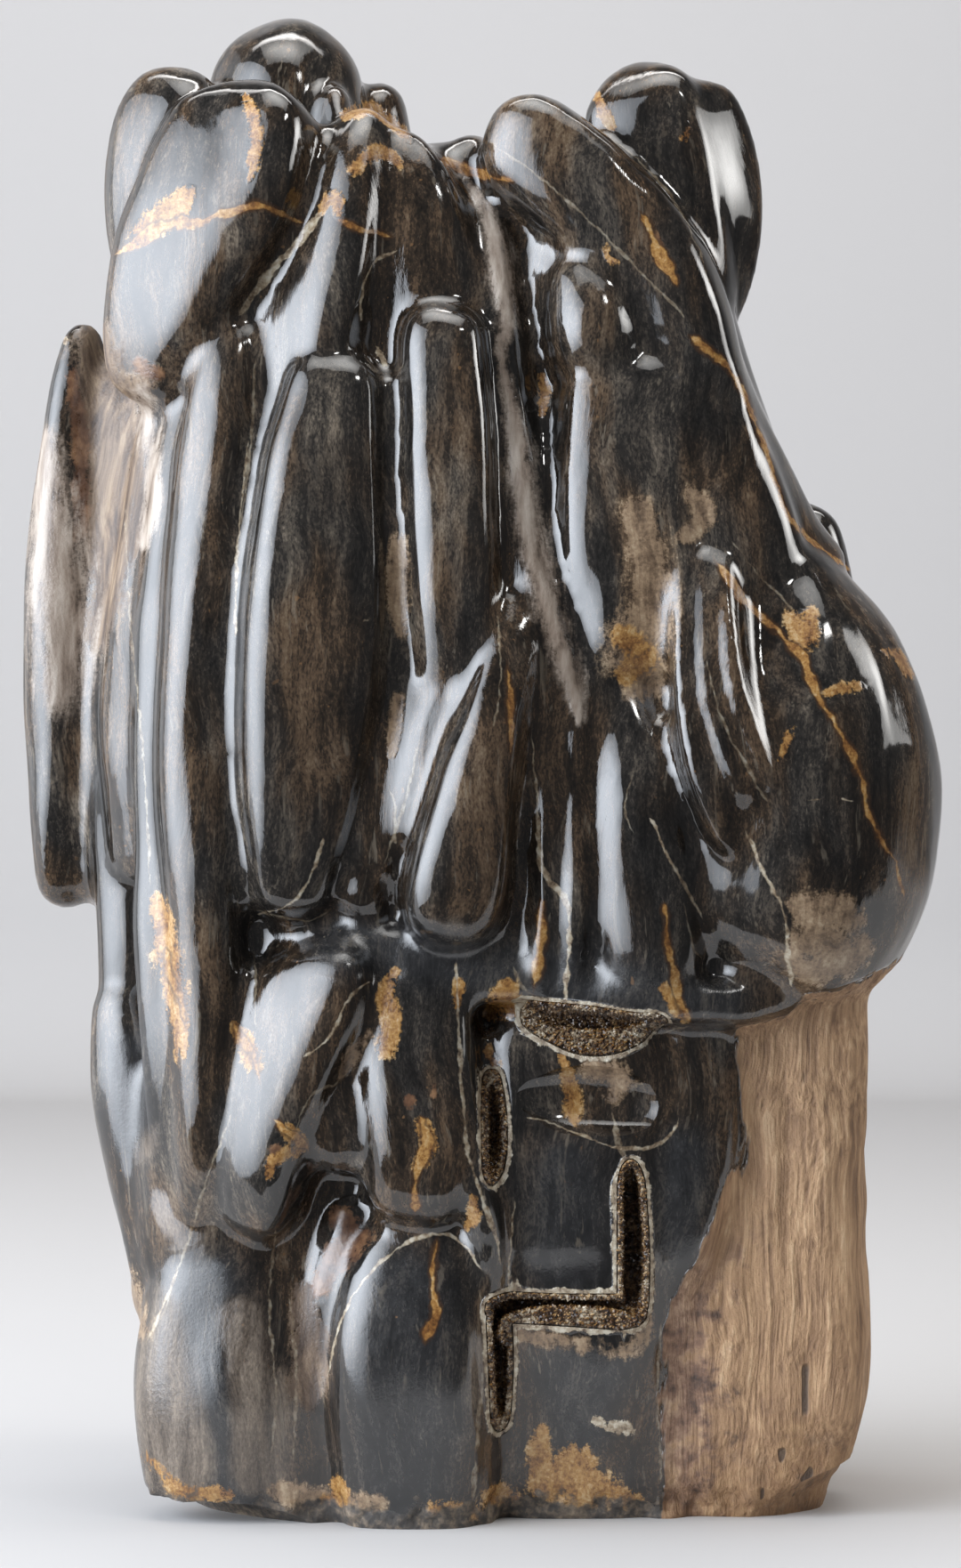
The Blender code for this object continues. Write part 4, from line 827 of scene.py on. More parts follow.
def lobe_points(ball, facing, squareness, rows, inset):
    """The unit ball's points moved on to one lobe, in metres."""
    curve = smooth_spine(rows)
    steps = np.linalg.norm(np.diff(curve[:, :3], axis=0), axis=1)
    along = np.concatenate([[0.0], np.cumsum(steps)])
    length = along[-1]
    reach = inset + (length - 2 * inset) * (1.0 - ball[:, 2]) / 2.0

    def on_curve(distances, columns):
        return np.stack([np.interp(distances, along, curve[:, k])
                         for k in columns], axis=1)

    place = on_curve(reach, range(5))
    tangent = unit_rows(on_curve(reach + 1.0, range(3))
                        - on_curve(reach - 1.0, range(3)))
    angle = math.radians(facing)
    outward = np.array([math.sin(angle), -math.cos(angle), 0.0])
    front = unit_rows(outward - tangent * (tangent @ outward)[:, None])
    side = np.cross(tangent, front)
    swell = np.minimum(
        round_over(reach - inset, 0.5 * (rows[0][3] + rows[0][4])),
        round_over(length - reach - inset, 0.5 * (rows[-1][3] + rows[-1][4])))
    turn = np.arctan2(ball[:, 1], ball[:, 0])
    across = signed_power(np.cos(turn), 2.0 / squareness) * swell
    out = signed_power(np.sin(turn), 2.0 / squareness) * swell
    half_width = np.maximum(place[:, 3] - inset, THINNEST)
    half_depth = np.maximum(place[:, 4] - inset, THINNEST)
    return (place[:, :3] + side * (across * half_width)[:, None]
            + front * (out * half_depth)[:, None]) * MM


def back_lobes():
    """Plain upright lobes round the sides and back, from one seed."""
    dice = random.Random(BACK_SEED)
    lobes = []
    for count, lowest, highest, widths, stand_off in BACK_RING:
        for i in range(count):
            share = (i + dice.uniform(*BACK_PLACE)) / count
            facing = BACK_FROM + (BACK_TO - BACK_FROM) * share
            bottom = dice.uniform(*lowest)
            top = dice.uniform(*highest)
            half_width = dice.uniform(*widths)
            lean = dice.uniform(-BACK_LEAN, BACK_LEAN)
            rows = []
            for step, taper in enumerate(BACK_TAPER):
                height = top + (bottom - top) * step / 4
                above = max(0.0, (height - BACK_NARROWS_FROM) / BACK_HEIGHT)
                narrow = (1 - BACK_NARROWING * above) * BACK_SUNK
                turn = math.radians(facing + lean * (step - 2) / 2)
                x = BACK_CENTRE[0] + (BACK_RADII[0] + stand_off) * narrow * math.sin(turn)
                y = BACK_CENTRE[1] - (BACK_RADII[1] + stand_off) * narrow * math.cos(turn)
                rows.append((x, y, height, half_width * taper, half_width * taper))
            lobes.append(("back", facing, 2.0, rows))
    return lobes


def rows_of(vertices, name):
    """One row of three numbers for each vertex."""
    rows = np.empty(len(vertices) * 3)
    vertices.foreach_get(name, rows)
    return rows.reshape(-1, 3)


def mesh_points(target):
    return rows_of(target.data.vertices, "co")


def mesh_normals(target):
    return rows_of(target.data.vertex_normals, "vector")


def object_from(mesh, name, collection):
    data = bpy.data.meshes.new(name)
    mesh.to_mesh(data)
    mesh.free()
    made = bpy.data.objects.new(name, data)
    collection.objects.link(made)
    return made


def lobes_object(name, lobes, collection, ribs=RIBS, rings=RINGS, inset=0.0):
    """All the lobes as closed, overlapping shells in one object."""
    stock = unit_ball(ribs, rings)
    ball = rows_of(stock.vertices, "co")
    mesh = bmesh.new()
    for _, facing, squareness, rows in lobes:
        points = lobe_points(ball, facing, squareness, rows, inset)
        stock.vertices.foreach_set("co", points.ravel())
        mesh.from_mesh(stock)
    bpy.data.meshes.remove(stock)
    return object_from(mesh, name, collection)


def reshape(target, kind, **settings):
    """Runs one modifier and keeps its result as the mesh."""
    modifier = target.modifiers.new(kind.lower(), kind)
    for name, value in settings.items():
        setattr(modifier, name, value)
    bpy.context.view_layer.update()
    evaluated = target.evaluated_get(bpy.context.evaluated_depsgraph_get())
    data = bpy.data.meshes.new_from_object(evaluated)
    target.modifiers.clear()
    target.data = data


def remesh(target, voxel):
    reshape(target, "REMESH", mode="VOXEL", voxel_size=voxel)


def swell(target, distance):
    """Moves the whole surface outward, or inward below zero."""
    reshape(target, "DISPLACE", mid_level=0.0, strength=distance)


def smooth(target, passes):
    reshape(target, "SMOOTH", factor=0.5, iterations=passes)


def thin_out(target, facets):
    count = sum(len(p.vertices) - 2 for p in target.data.polygons)
    reshape(target, "DECIMATE", ratio=facets / count, use_collapse_triangulate=True)


def boolean(target, cutter, operation):
    reshape(target, "BOOLEAN", operation=operation, solver="MANIFOLD", object=cutter)


def shell_numbers(mesh):
    """For each vertex, the lowest vertex number of the shell it is in."""
    ends = np.empty(len(mesh.edges) * 2, dtype=np.int64)
    mesh.edges.foreach_get("vertices", ends)
    first, second = ends[0::2], ends[1::2]
    numbers = np.arange(len(mesh.vertices))
    while True:
        lowest = np.minimum(numbers[first], numbers[second])
        spread = numbers.copy()
        np.minimum.at(spread, first, lowest)
        np.minimum.at(spread, second, lowest)
        np.minimum.at(spread, numbers[first], lowest)
        np.minimum.at(spread, numbers[second], lowest)
        spread = spread[spread]
        if np.array_equal(spread, numbers):
            return numbers
        numbers = spread


def keep_largest_shell(target):
    """Drops the small closed pockets left where lobes meet."""
    numbers = shell_numbers(target.data)
    names, counts = np.unique(numbers, return_counts=True)
    if len(names) == 1:
        return
    largest = names[np.argmax(counts)]
    mesh = bmesh.new()
    mesh.from_mesh(target.data)
    mesh.verts.ensure_lookup_table()
    stray = [mesh.verts[i] for i in np.nonzero(numbers != largest)[0]]
    bmesh.ops.delete(mesh, geom=stray, context="VERTS")
    mesh.to_mesh(target.data)
    mesh.free()


def ground_block(collection):
    """Everything below the resting plane."""
    mesh = bmesh.new()
    made = bmesh.ops.create_cube(mesh, size=1.0)
    for vertex in made["verts"]:
        vertex.co.x *= GROUND_SIZE
        vertex.co.y *= GROUND_SIZE
        vertex.co.z = (vertex.co.z - 0.5) * GROUND_DEPTH
    return object_from(mesh, "ground_block", collection)


def cut_away(target, lobes, collection):
    for lobe in lobes:
        cutter = lobes_object(lobe[0], [lobe], collection,
                              HOLLOW_RIBS, HOLLOW_RINGS)
        boolean(target, cutter, "DIFFERENCE")


def hollow_shape(name, lobes, collection, inset=0.0, reach=0.0):
    """One closed shape for a hollow, drawn out through its mouth by reach."""
    shape = None
    for part, facing, squareness, rows in lobes:
        drawn = [(x, y - reach, z, w, d + reach * 0.5)
                 for x, y, z, w, d in rows]
        piece = lobes_object(name, [(part, facing, squareness, drawn)],
                             collection, HOLLOW_RIBS, HOLLOW_RINGS, inset)
        if shape is None:
            shape = piece
        else:
            boolean(shape, piece, "UNION")
            bpy.data.objects.remove(piece, do_unlink=True)
    shape.name = name
    return shape


def soft_step(values, low, high):
    share = np.clip((values - low) / (high - low), 0.0, 1.0)
    return share * share * (3.0 - 2.0 * share)


def noise_field(points, size, stretch, shift):
    """Smooth noise from -1 to 1 at each point, one swell to a size."""
    scaled = points * np.array((1.0, 1.0, stretch)) / size + shift
    return np.array([noise.noise(Vector(p)) for p in scaled])


def layered(points, layers):
    """The sum of several noises, in metres."""
    return sum(height * noise_field(points, size, stretch, shift)
               for height, size, stretch, shift in layers)


def on_marking_plane(points):
    """Where each point shows on the marking plane, in millimetres."""
    millimetres = points / MM
    distance = CAMERA_DISTANCE / MM
    height = CAMERA_HEIGHT / MM
    share = (distance + MARKING_PLANE) / (distance + millimetres[:, 1])
    across = millimetres[:, 0] * share
    up = height + (millimetres[:, 2] - height) * share
    return np.stack([across, up], axis=1)


def facing_front(points, normals):
    """1 where the surface shows from the front, 0 round the back."""
    camera = np.array([0.0, -CAMERA_DISTANCE, CAMERA_HEIGHT])
    towards = unit_rows(camera - points)
    turned = soft_step(np.sum(normals * towards, axis=1), *FACING_END)
    near = 1.0 - soft_step(points[:, 1] / MM, *MARKING_END)
    return turned * near


def seam_reading(places, line):
    """Signed distance from a seam's line, and its half width there."""
    line = smooth_spine(line, 5)
    best = np.full(len(places), NOWHERE)
    offset = np.full(len(places), SEAM_FAR)
    width = np.full(len(places), -1.0)
    for start, end in zip(line[:-1], line[1:]):
        step = end[:2] - start[:2]
        length = np.linalg.norm(step)
        step = step / length
        rel = places - start[:2]
        along = rel @ step
        side = rel[:, 0] * step[1] - rel[:, 1] * step[0]
        share = np.clip(along / length, 0.0, 1.0)
        past = np.maximum(0.0, np.maximum(-along, along - length))
        distance = np.hypot(side, past)
        closer = distance < best
        best[closer] = distance[closer]
        offset[closer] = side[closer]
        here = start[2] + (end[2] - start[2]) * share - past
        width[closer] = here[closer]
    width -= np.maximum(0.0, best - SEAM_CLEAR)
    return best, np.clip(offset, -SEAM_FAR, SEAM_FAR), np.maximum(width, -SEAM_FAR)


def seam_channels(places, seams):
    """Two fields that together hold all the seams, near ones in turn."""
    count = len(places)
    channels = [[np.full(count, value) for value in (NOWHERE, SEAM_FAR, -SEAM_FAR)]
                for _ in range(2)]
    taken = [[], []]
    for line in seams:
        outline = smooth_spine(line, 5)[:, :2]
        gaps = []
        for held in taken:
            gap = NOWHERE
            for other in held:
                apart = outline[:, None, :] - other[None, :, :]
                gap = min(gap, np.sqrt((apart ** 2).sum(axis=2)).min())
            gaps.append(gap)
        pick = 0 if gaps[0] > 3 * SEAM_CLEAR or gaps[0] >= gaps[1] else 1
        taken[pick].append(outline)
        best, offset, width = seam_reading(places, line)
        channel = channels[pick]
        closer = best < channel[0]
        for field, values in zip(channel, (best, offset, width)):
            field[closer] = values[closer]
    return [channel[1:] for channel in channels]


def patch_field(places, patches):
    """1 at the middle of a patch, 0 at its edge and falling below outside."""
    field = np.full(len(places), -1.0)
    for patch in patches:
        dots = np.array(patch, dtype=float)
        if len(dots) > 1:
            dots = smooth_spine(patch, 5)
        for across, up, radius in dots:
            distance = np.hypot(places[:, 0] - across, places[:, 1] - up)
            field = np.maximum(field, 1.0 - distance / max(radius, 0.1))
    return np.maximum(field, -1.0)


def raw_field(points, places):
    """Signed depth in millimetres into the raw wood of the post."""
    edges = np.interp(places[:, 1], *zip(*RAW_EDGE))
    tops = np.interp(places[:, 0], *zip(*RAW_TOP))
    inside = np.minimum(places[:, 0] - edges, tops - places[:, 1])
    behind = RAW_BACK - points[:, 1] / MM
    return np.clip(np.minimum(inside, behind), *RAW_RANGE)


def add_field(target, name, values):
    attribute = target.data.attributes.new(name, "FLOAT", "POINT")
    attribute.data.foreach_set("value", values.astype(np.float32))


def add_fields(target, name, columns):
    """Three fields in one attribute."""
    attribute = target.data.attributes.new(name, "FLOAT_VECTOR", "POINT")
    together = np.stack(columns, axis=1).astype(np.float32)
    attribute.data.foreach_set("vector", together.ravel())


def surface_tree(target):
    """Finds the nearest place on a mesh."""
    mesh = bmesh.new()
    mesh.from_mesh(target.data)
    tree = BVHTree.FromBMesh(mesh)
    mesh.free()
    return tree


def hollow_nearness(points, hollows, reach):
    """1 at a hollow's wall, 0 from a reach away, in metres."""
    nearness = np.zeros(len(points))
    for hollow in hollows:
        tree = surface_tree(hollow)
        corners = mesh_points(hollow)
        low = corners.min(axis=0) - reach
        high = corners.max(axis=0) + reach
        inside = np.all((points > low) & (points < high), axis=1)
        for i in np.nonzero(inside)[0]:
            distance = tree.find_nearest(Vector(points[i]))[3]
            nearness[i] = max(nearness[i], 1.0 - distance / reach)
    return nearness


def mark_trunk(trunk, hollows):
    """Writes every marking's field on to the trunk's vertices."""
    points = mesh_points(trunk)
    normals = mesh_normals(trunk)
    places = on_marking_plane(points)
    front = facing_front(points, normals)
    for name, seams in (("gold", GOLD_SEAMS), ("cream", CREAM_SEAMS),
                        ("faint", FAINT_SEAMS)):
        for number, (offset, width) in zip("12", seam_channels(places, seams)):
            shown = np.where(front > 0.5, width, -SEAM_FAR)
            add_fields(trunk, name + "_seam_" + number, (offset, shown, front))
    hidden = (front - 1.0) * 2.0
    groups = {
        "spots": (GOLD_PATCHES, TAN_PATCHES, RUST_PATCHES),
        "blade": (WHITE_PATCHES, PALE_PATCHES, WOOD_PATCHES)}
    for name, kinds in groups.items():
        add_fields(trunk, name, [np.maximum(patch_field(places, kind) + hidden, -1.0)
                                 for kind in kinds])
    raw = raw_field(points, places)
    brown = np.maximum(patch_field(places, BROWN_AREAS) + hidden, 0.0)
    grey = np.maximum(patch_field(places, GREY_AREAS) + hidden, 0.0)
    add_fields(trunk, "tone", (brown, grey, front))
    rim = hollow_nearness(points, hollows, RIM_WIDTH)
    add_fields(trunk, "edges", (raw, rim, front))


def sway(trunk):
    """Bends the lobes a little, so that no edge runs quite straight."""
    points = mesh_points(trunk)
    moved = points.copy()
    for axis in (0, 1, 2):
        for reach, size, shift in SWAYS:
            swing = noise_field(points, size, SWAY_STRETCH, shift + SWAY_TURN * axis)
            moved[:, axis] += reach * swing
    free = soft_step(points[:, 2], *SWAY_FROM)[:, None]
    moved = points + (moved - points) * free
    trunk.data.vertices.foreach_set("co", moved.ravel())
    trunk.data.update()


def roughen(trunk):
    """Soft waves in the polish, torn fibres on the raw wood and a rough foot."""
    points = mesh_points(trunk)
    normals = mesh_normals(trunk)
    raw = raw_field(points, on_marking_plane(points))
    is_raw = soft_step(raw, *RAW_FROM)
    lift = layered(points, WAVES) * (1 - is_raw)
    lift += (layered(points, FIBRES) - RAW_SINK) * is_raw
    is_broken = 1.0 - soft_step(points[:, 2], *BROKEN_TO)
    lift += (layered(points, RUBBLE) - RUBBLE_SINK) * is_broken
    lift *= soft_step(points[:, 2], *RELIEF_FROM)
    moved = points + normals * lift[:, None]
    trunk.data.vertices.foreach_set("co", moved.ravel())
    trunk.data.update()


def drawn_out_trunk(collection, cutters):
    """The trunk before its hollows, finer than the solid it stands for."""
    lobes = (CORE_LOBES + CROWN_LOBES + MIDDLE_LOBES + LEFT_LOBES
             + LOWER_LOBES + back_lobes())
    trunk = lobes_object("trunk", lobes, collection)
    for distance in (FILLET, -FILLET):
        remesh(trunk, GRAIN)
        swell(trunk, distance)
    remesh(trunk, GRAIN)
    keep_largest_shell(trunk)
    smooth(trunk, SMOOTHING_PASSES)
    sway(trunk)
    roughen(trunk)
    cut_away(trunk, SCOOPS + BASE_CHIPS, cutters)
    boolean(trunk, ground_block(cutters), "DIFFERENCE")
    keep_largest_shell(trunk)
    return trunk


def crystal_points(dice, size):
    """Corners of one stubby pointed crystal, its point along +Z."""
    turn = dice.uniform(0.0, math.tau)
    corners = []
    for height, radius in CRYSTAL_RINGS:
        for i in range(CRYSTAL_SIDES):
            angle = turn + math.tau * i / CRYSTAL_SIDES
            reach = radius * dice.uniform(*CRYSTAL_UNEVEN)
            corners.append((reach * math.cos(angle), reach * math.sin(angle), height))
    aside = [dice.uniform(-CRYSTAL_TIP_SHIFT, CRYSTAL_TIP_SHIFT) for _ in range(2)]
    corners.append((*aside, dice.uniform(*CRYSTAL_TIP)))
    return [Vector(corner) * size for corner in corners]


def add_crystal(mesh, dice, place, direction, size):
    """One crystal standing on a place, its point along the direction."""
    upright = direction.to_track_quat("Z", "Y")
    made = [mesh.verts.new(place + upright @ corner)
            for corner in crystal_points(dice, size)]
    lower = made[:CRYSTAL_SIDES]
    upper = made[CRYSTAL_SIDES:-1]
    for i in range(CRYSTAL_SIDES):
        j = (i + 1) % CRYSTAL_SIDES
        mesh.faces.new((lower[i], lower[j], upper[j], upper[i]))
        mesh.faces.new((upper[i], upper[j], made[-1]))
    mesh.faces.new(list(reversed(lower)))


def crystal_crust(name, lobes, blank, collection, cutters):
    """Lumpy lining of a hollow, set with small pointed crystals."""
    lining = hollow_shape(name + "_detail", lobes, collection, WALL_GAP / MM)
    core = hollow_shape(name + "_core", lobes, cutters,
                        (WALL_GAP + CRUST_THICKNESS) / MM, MOUTH_REACH / MM)
    if name in MOUNDS:
        mound = lobes_object(name + "_mound", MOUNDS[name], cutters,
                             HOLLOW_RIBS, HOLLOW_RINGS)
        boolean(core, mound, "DIFFERENCE")
    boolean(lining, core, "DIFFERENCE")
    boolean(lining, blank, "INTERSECT")
    keep_largest_shell(lining)
    remesh(lining, CRUST_GRAIN)
    keep_largest_shell(lining)

    wall = surface_tree(hollow_shape(name + "_wall", lobes, cutters))
    skin = surface_tree(blank)
    dice = random.Random(name)
    mesh = bmesh.new()
    mesh.from_mesh(lining.data)
    mesh.normal_update()
    inner = []
    for face in mesh.faces:
        middle = face.calc_center_median()
        if wall.find_nearest(middle)[3] > WALL_GAP + WALL_SHARE * CRUST_THICKNESS:
            inner.append((middle, face.normal.copy()))
    dice.shuffle(inner)
    taken = set()
    for middle, normal in inner:
        cell = tuple(math.floor(c / CRYSTAL_SPACING) for c in middle)
        if cell in taken:
            continue
        taken.add(cell)
        lean = Vector([dice.gauss(0, CRYSTAL_LEAN) for _ in range(3)])
        size = dice.uniform(*CRYSTAL_SIZE) * MM
        add_crystal(mesh, dice, middle - normal * size * CRYSTAL_SINK,
                    (normal + lean).normalized(), size)
    mesh.to_mesh(lining.data)
    mesh.free()
    depth = np.array([skin.find_nearest(Vector(p))[3] for p in mesh_points(lining)])
    add_field(lining, "depth", depth / MM)
    return lining


def add(tree, kind, inputs=None, **settings):
    """One shader node, each input set, or linked where it is given a Value."""
    made = tree.nodes.new(kind)
    for name, value in settings.items():
        setattr(made, name, value)
    for name, value in (inputs or {}).items():
        if isinstance(value, Value):
            tree.links.new(value.socket, made.inputs[name])
        else:
            made.inputs[name].default_value = value
    return made


class Value:
    """A number or colour in a material. Sums and products of it add nodes."""

    def __init__(self, socket):
        self.socket = socket
        self.tree = socket.id_data

    def joined(self, operation, other):
        made = add(self.tree, "ShaderNodeMath", {0: self, 1: other}, operation=operation)
        return Value(made.outputs[0])

    def __add__(self, other):
        return self.joined("ADD", other)

    def __sub__(self, other):
        return self.joined("SUBTRACT", other)

    def __mul__(self, other):
        return self.joined("MULTIPLY", other)

    def least(self, other):
        return self.joined("MINIMUM", other)

    def most(self, other):
        return self.joined("MAXIMUM", other)

    def size(self):
        return self.joined("ABSOLUTE", 0.0)

    def centred(self, reach):
        """Noise about zero, from minus reach to plus reach."""
        return (self - 0.5) * (2.0 * reach)

    def step(self, low, high, bottom=0.0, top=1.0):
        """A soft step from bottom at low to top at high."""
        made = add(self.tree, "ShaderNodeMapRange",
                   {"Value": self, "From Min": low, "From Max": high,
                    "To Min": bottom, "To Max": top},
                   interpolation_type="SMOOTHSTEP")
        return Value(made.outputs["Result"])

    def ramp(self, stops):
        made = add(self.tree, "ShaderNodeValToRGB", {"Fac": self})
        elements = made.color_ramp.elements
        while len(elements) < len(stops):
            elements.new(0.5)
        for element, (place, colour) in zip(elements, stops):
            element.position = place
            element.color = (*colour, 1.0)
        return Value(made.outputs["Color"])

    def mixed(self, below, above):
        """The colour below where this is 0, the one above where it is 1."""
        made = add(self.tree, "ShaderNodeMix", {0: self, 6: below, 7: above},
                   data_type="RGBA")
        return Value(made.outputs[2])

    def between(self, below, above):
        """The number below where this is 0, the one above where it is 1."""
        made = add(self.tree, "ShaderNodeMix", {0: self, 2: below, 3: above})
        return Value(made.outputs[0])


def stretched(place, stretch):
    made = add(place.tree, "ShaderNodeVectorMath", {0: place, 1: stretch},
               operation="MULTIPLY")
    return Value(made.outputs["Vector"])


def noise_node(place, scale, detail=3.0, roughness=0.5):
    return add(place.tree, "ShaderNodeTexNoise",
               {"Vector": place, "Scale": scale, "Detail": detail, "Roughness": roughness})


def noise_at(place, scale, detail=3.0, roughness=0.5):
    return Value(noise_node(place, scale, detail, roughness).outputs["Fac"])


def split(vector):
    """The three numbers of a vector."""
    made = add(vector.tree, "ShaderNodeSeparateXYZ", {0: vector})
    return [Value(made.outputs[axis]) for axis in "XYZ"]


def fields(tree, name):
    """The three fields held in one attribute."""
    read = add(tree, "ShaderNodeAttribute", attribute_name=name)
    return split(Value(read.outputs["Vector"]))


def weighted(noises, **shares):
    """Several noises, each times its share, added up."""
    total = 0.0
    for name, share in shares.items():
        made = add(noises[name].tree, "ShaderNodeMath",
                   {0: noises[name], 1: share, 2: total}, operation="MULTIPLY_ADD")
        total = Value(made.outputs[0])
    return total


def new_material(name):
    """A material, its node tree and its shader."""
    material = bpy.data.materials.new(name)
    material.use_nodes = True
    tree = material.node_tree
    return material, tree, tree.nodes["Principled BSDF"]


def stone_noises(tree):
    """The noises that the stone's colours and relief share, drifting a little."""
    place = Value(add(tree, "ShaderNodeTexCoord").outputs["Object"])
    drift = Value(noise_node(place, DRIFT_SCALE, 1.0).outputs["Color"])
    drift = stretched(drift, (DRIFT_REACH,) * 3)
    flowing = Value(add(tree, "ShaderNodeVectorMath", {0: place, 1: drift},
                        operation="ADD").outputs["Vector"])
    noises = {"place": place, "height": split(place)[2]}
    for name, (length, scale, detail, roughness) in GRAIN_NOISES.items():
        noises[name] = noise_at(stretched(flowing, (1.0, 1.0, length)),
                                scale, detail, roughness)
    for name, (scale, detail, roughness) in CRUMB_NOISES.items():
        noises[name] = noise_at(place, scale, detail, roughness)
    return noises


def polished_ground(noises, brown, grey, dust):
    """Black, browned along the grain, grey in places, with pale flecks."""
    level = weighted(noises, grain=0.28, streaks=0.42, clouds=0.30)
    level = level + brown * 0.050 + grey * 0.012
    hue = noises["hues"].step(0.40, 0.60)
    colour = hue.mixed(level.ramp(STONE_STOPS), level.ramp(UMBER_STOPS))
    colour = (grey * 1.6).least(1.0).mixed(colour, level.ramp(SLATE_STOPS))
    colour = dust.mixed(colour, level.ramp(DUSTY_STOPS))
    flecks = noises["fine"].step(0.60, 0.70) * noises["clouds"].step(0.44, 0.60)
    colour = (flecks * 0.46).mixed(colour, FLECK)
    threads = noises["threads"].step(0.60, 0.70) * noises["hues"].step(0.42, 0.60)
    colour = (threads * 0.42).mixed(colour, FLECK)
    motes = noise_at(noises["place"], 420.0, 1.0).step(0.75, 0.80)
    motes = motes * noises["hues"].step(0.45, 0.55)
    return (motes * 0.4).mixed(colour, MOTE)


def with_patches(tree, noises, gold, cream, colour):
    """A colour with the patches on it, feathered along the grain, how dull they
    are, and how grainy."""
    ragged = weighted(noises, streaks=0.40, lumps=0.30, specks=0.30).centred(1.9)
    tan = weighted(noises, specks=0.25, lumps=0.30, streaks=0.45).ramp(TAN_STOPS)
    rust = noises["lumps"].ramp(RUST_STOPS)
    wood = noises["threads"].ramp(WOOD_STOPS)
    pale = noises["streaks"].ramp(BLADE_STOPS)
    gold_spot, tan_spot, rust_spot = fields(tree, "spots")
    white_spot, pale_spot, wood_spot = fields(tree, "blade")
    dull = 0.0
    grains = 0.0
    for spot, tone, low, high, matt in (
            (tan_spot, tan, -0.15, 0.50, 0.30), (wood_spot, wood, -0.2, 0.5, 0.48),
            (rust_spot, rust, 0.0, 0.5, 0.16), (gold_spot, gold, 0.10, 0.45, 0.20),
            (pale_spot, pale, -0.4, 0.7, 0.34), (white_spot, cream, 0.1, 0.3, 0.2)):
        mask = (spot + ragged).step(low, high)
        colour = mask.mixed(colour, tone)
        dull = (mask * matt).most(dull)
        grains = spot.step(0.0, 0.4, 0.0, matt).most(grains)
    return colour, dull, grains


def seam_mask(tree, name, wobble, swell, edge, border=0.0):
    """1 inside the seams of one kind, wavering and swelling by two noises."""
    masks = []
    for number in ("1", "2"):
        offset, width, _ = fields(tree, name + "_seam_" + number)
        inside = width * swell - (offset + wobble).size()
        masks.append(inside.step(-edge - border, edge - border))
    return masks[0].most(masks[1])


def back_seams(noises, front):
    """Seams of the unseen back, along the edges of a slow noise."""
    folds = noise_at(stretched(noises["place"], (1.0, 1.0, 0.35)), 16.0)
    mask = (folds - 0.52).size().step(0.004, 0.001) * noises["clouds"].step(0.42, 0.55)
    return mask * (front * -1.0 + 1.0)


def with_seams(tree, noises, gold, cream, front, colour, dull):
    """A colour with the gold and cream seams on it, and the dullness with theirs."""
    wobble = noise_at(noises["place"], *SEAM_WOBBLE).centred(SEAM_WOBBLE_REACH)
    swell = noise_at(noises["place"], *SEAM_SWELL).step(*SEAM_SWELL_RANGE)
    faint_mask = seam_mask(tree, "faint", wobble, swell, 0.25)
    cream_mask = seam_mask(tree, "cream", wobble, swell, 0.25)
    border_mask = seam_mask(tree, "gold", wobble, swell, 0.5, 0.8)
    gold_mask = seam_mask(tree, "gold", wobble, swell, 0.3)
    colour = (faint_mask * 0.4).mixed(colour, cream)
    colour = (cream_mask * 0.85).mixed(colour, cream)
    colour = (border_mask * 0.7).mixed(colour, GOLD_BORDER)
    colour = gold_mask.mixed(colour, gold)
    colour = back_seams(noises, front).mixed(colour, cream)
    return colour, dull.most(gold_mask * 0.16).most(cream_mask * 0.12)


def raw_wood(noises, raw):
    """Matt wood of the post, with fibres, stains and cracks, and its relief."""
    coarse = weighted(noises, streaks=0.30, threads=0.30, fibres=0.40)
    height = noises["height"] + noises["clouds"].centred(0.05)
    into = raw + noises["lumps"].centred(26.0)
    border = into.step(19.0, 7.0) * height.step(0.090, 0.055, 0.12, 1.0)
    bruised = coarse * 0.35 + noises["lumps"] * 0.65
    wood = border.mixed(coarse.ramp(RAW_STOPS), bruised.ramp(BLUSH_STOPS))
    low = height.step(0.035, 0.005, 0.0, 0.75)
    wood = low.mixed(wood, noises["lumps"].ramp(HONEY_STOPS))
    crack = noises["cracks"].step(0.70, 0.76) * noises["hues"].step(0.40, 0.50)
    wood = (crack * 0.8).mixed(wood, CRACK)
    return wood, coarse * 3.6 + noises["crumbs"] * 1.4 - crack * 1.6


def ground_dullness(noises, worn, dust):
    """How dull the polish is where the stone is grey or dusty."""
    satin = worn * noises["lumps"].step(0.35, 0.60, 0.10, 0.20)
    return satin.most(dust * noises["streaks"].step(0.40, 0.60, 0.24, 0.44))


def polish_relief(noises, grains, worn, dust, rim):
    """Height of the polish's faint combing, and of its grainy and broken places."""
    combed = noises["streaks"] * noises["hues"].step(0.44, 0.64, 0.05, 0.30)
    grains = grains.most(dust * 0.34).most(worn * 0.15).most(rim.step(0.40, 0.60))
    broken = noises["height"].step(*FOOT_BREAK)
    return combed + grains * noises["specks"] + broken * noises["crumbs"]


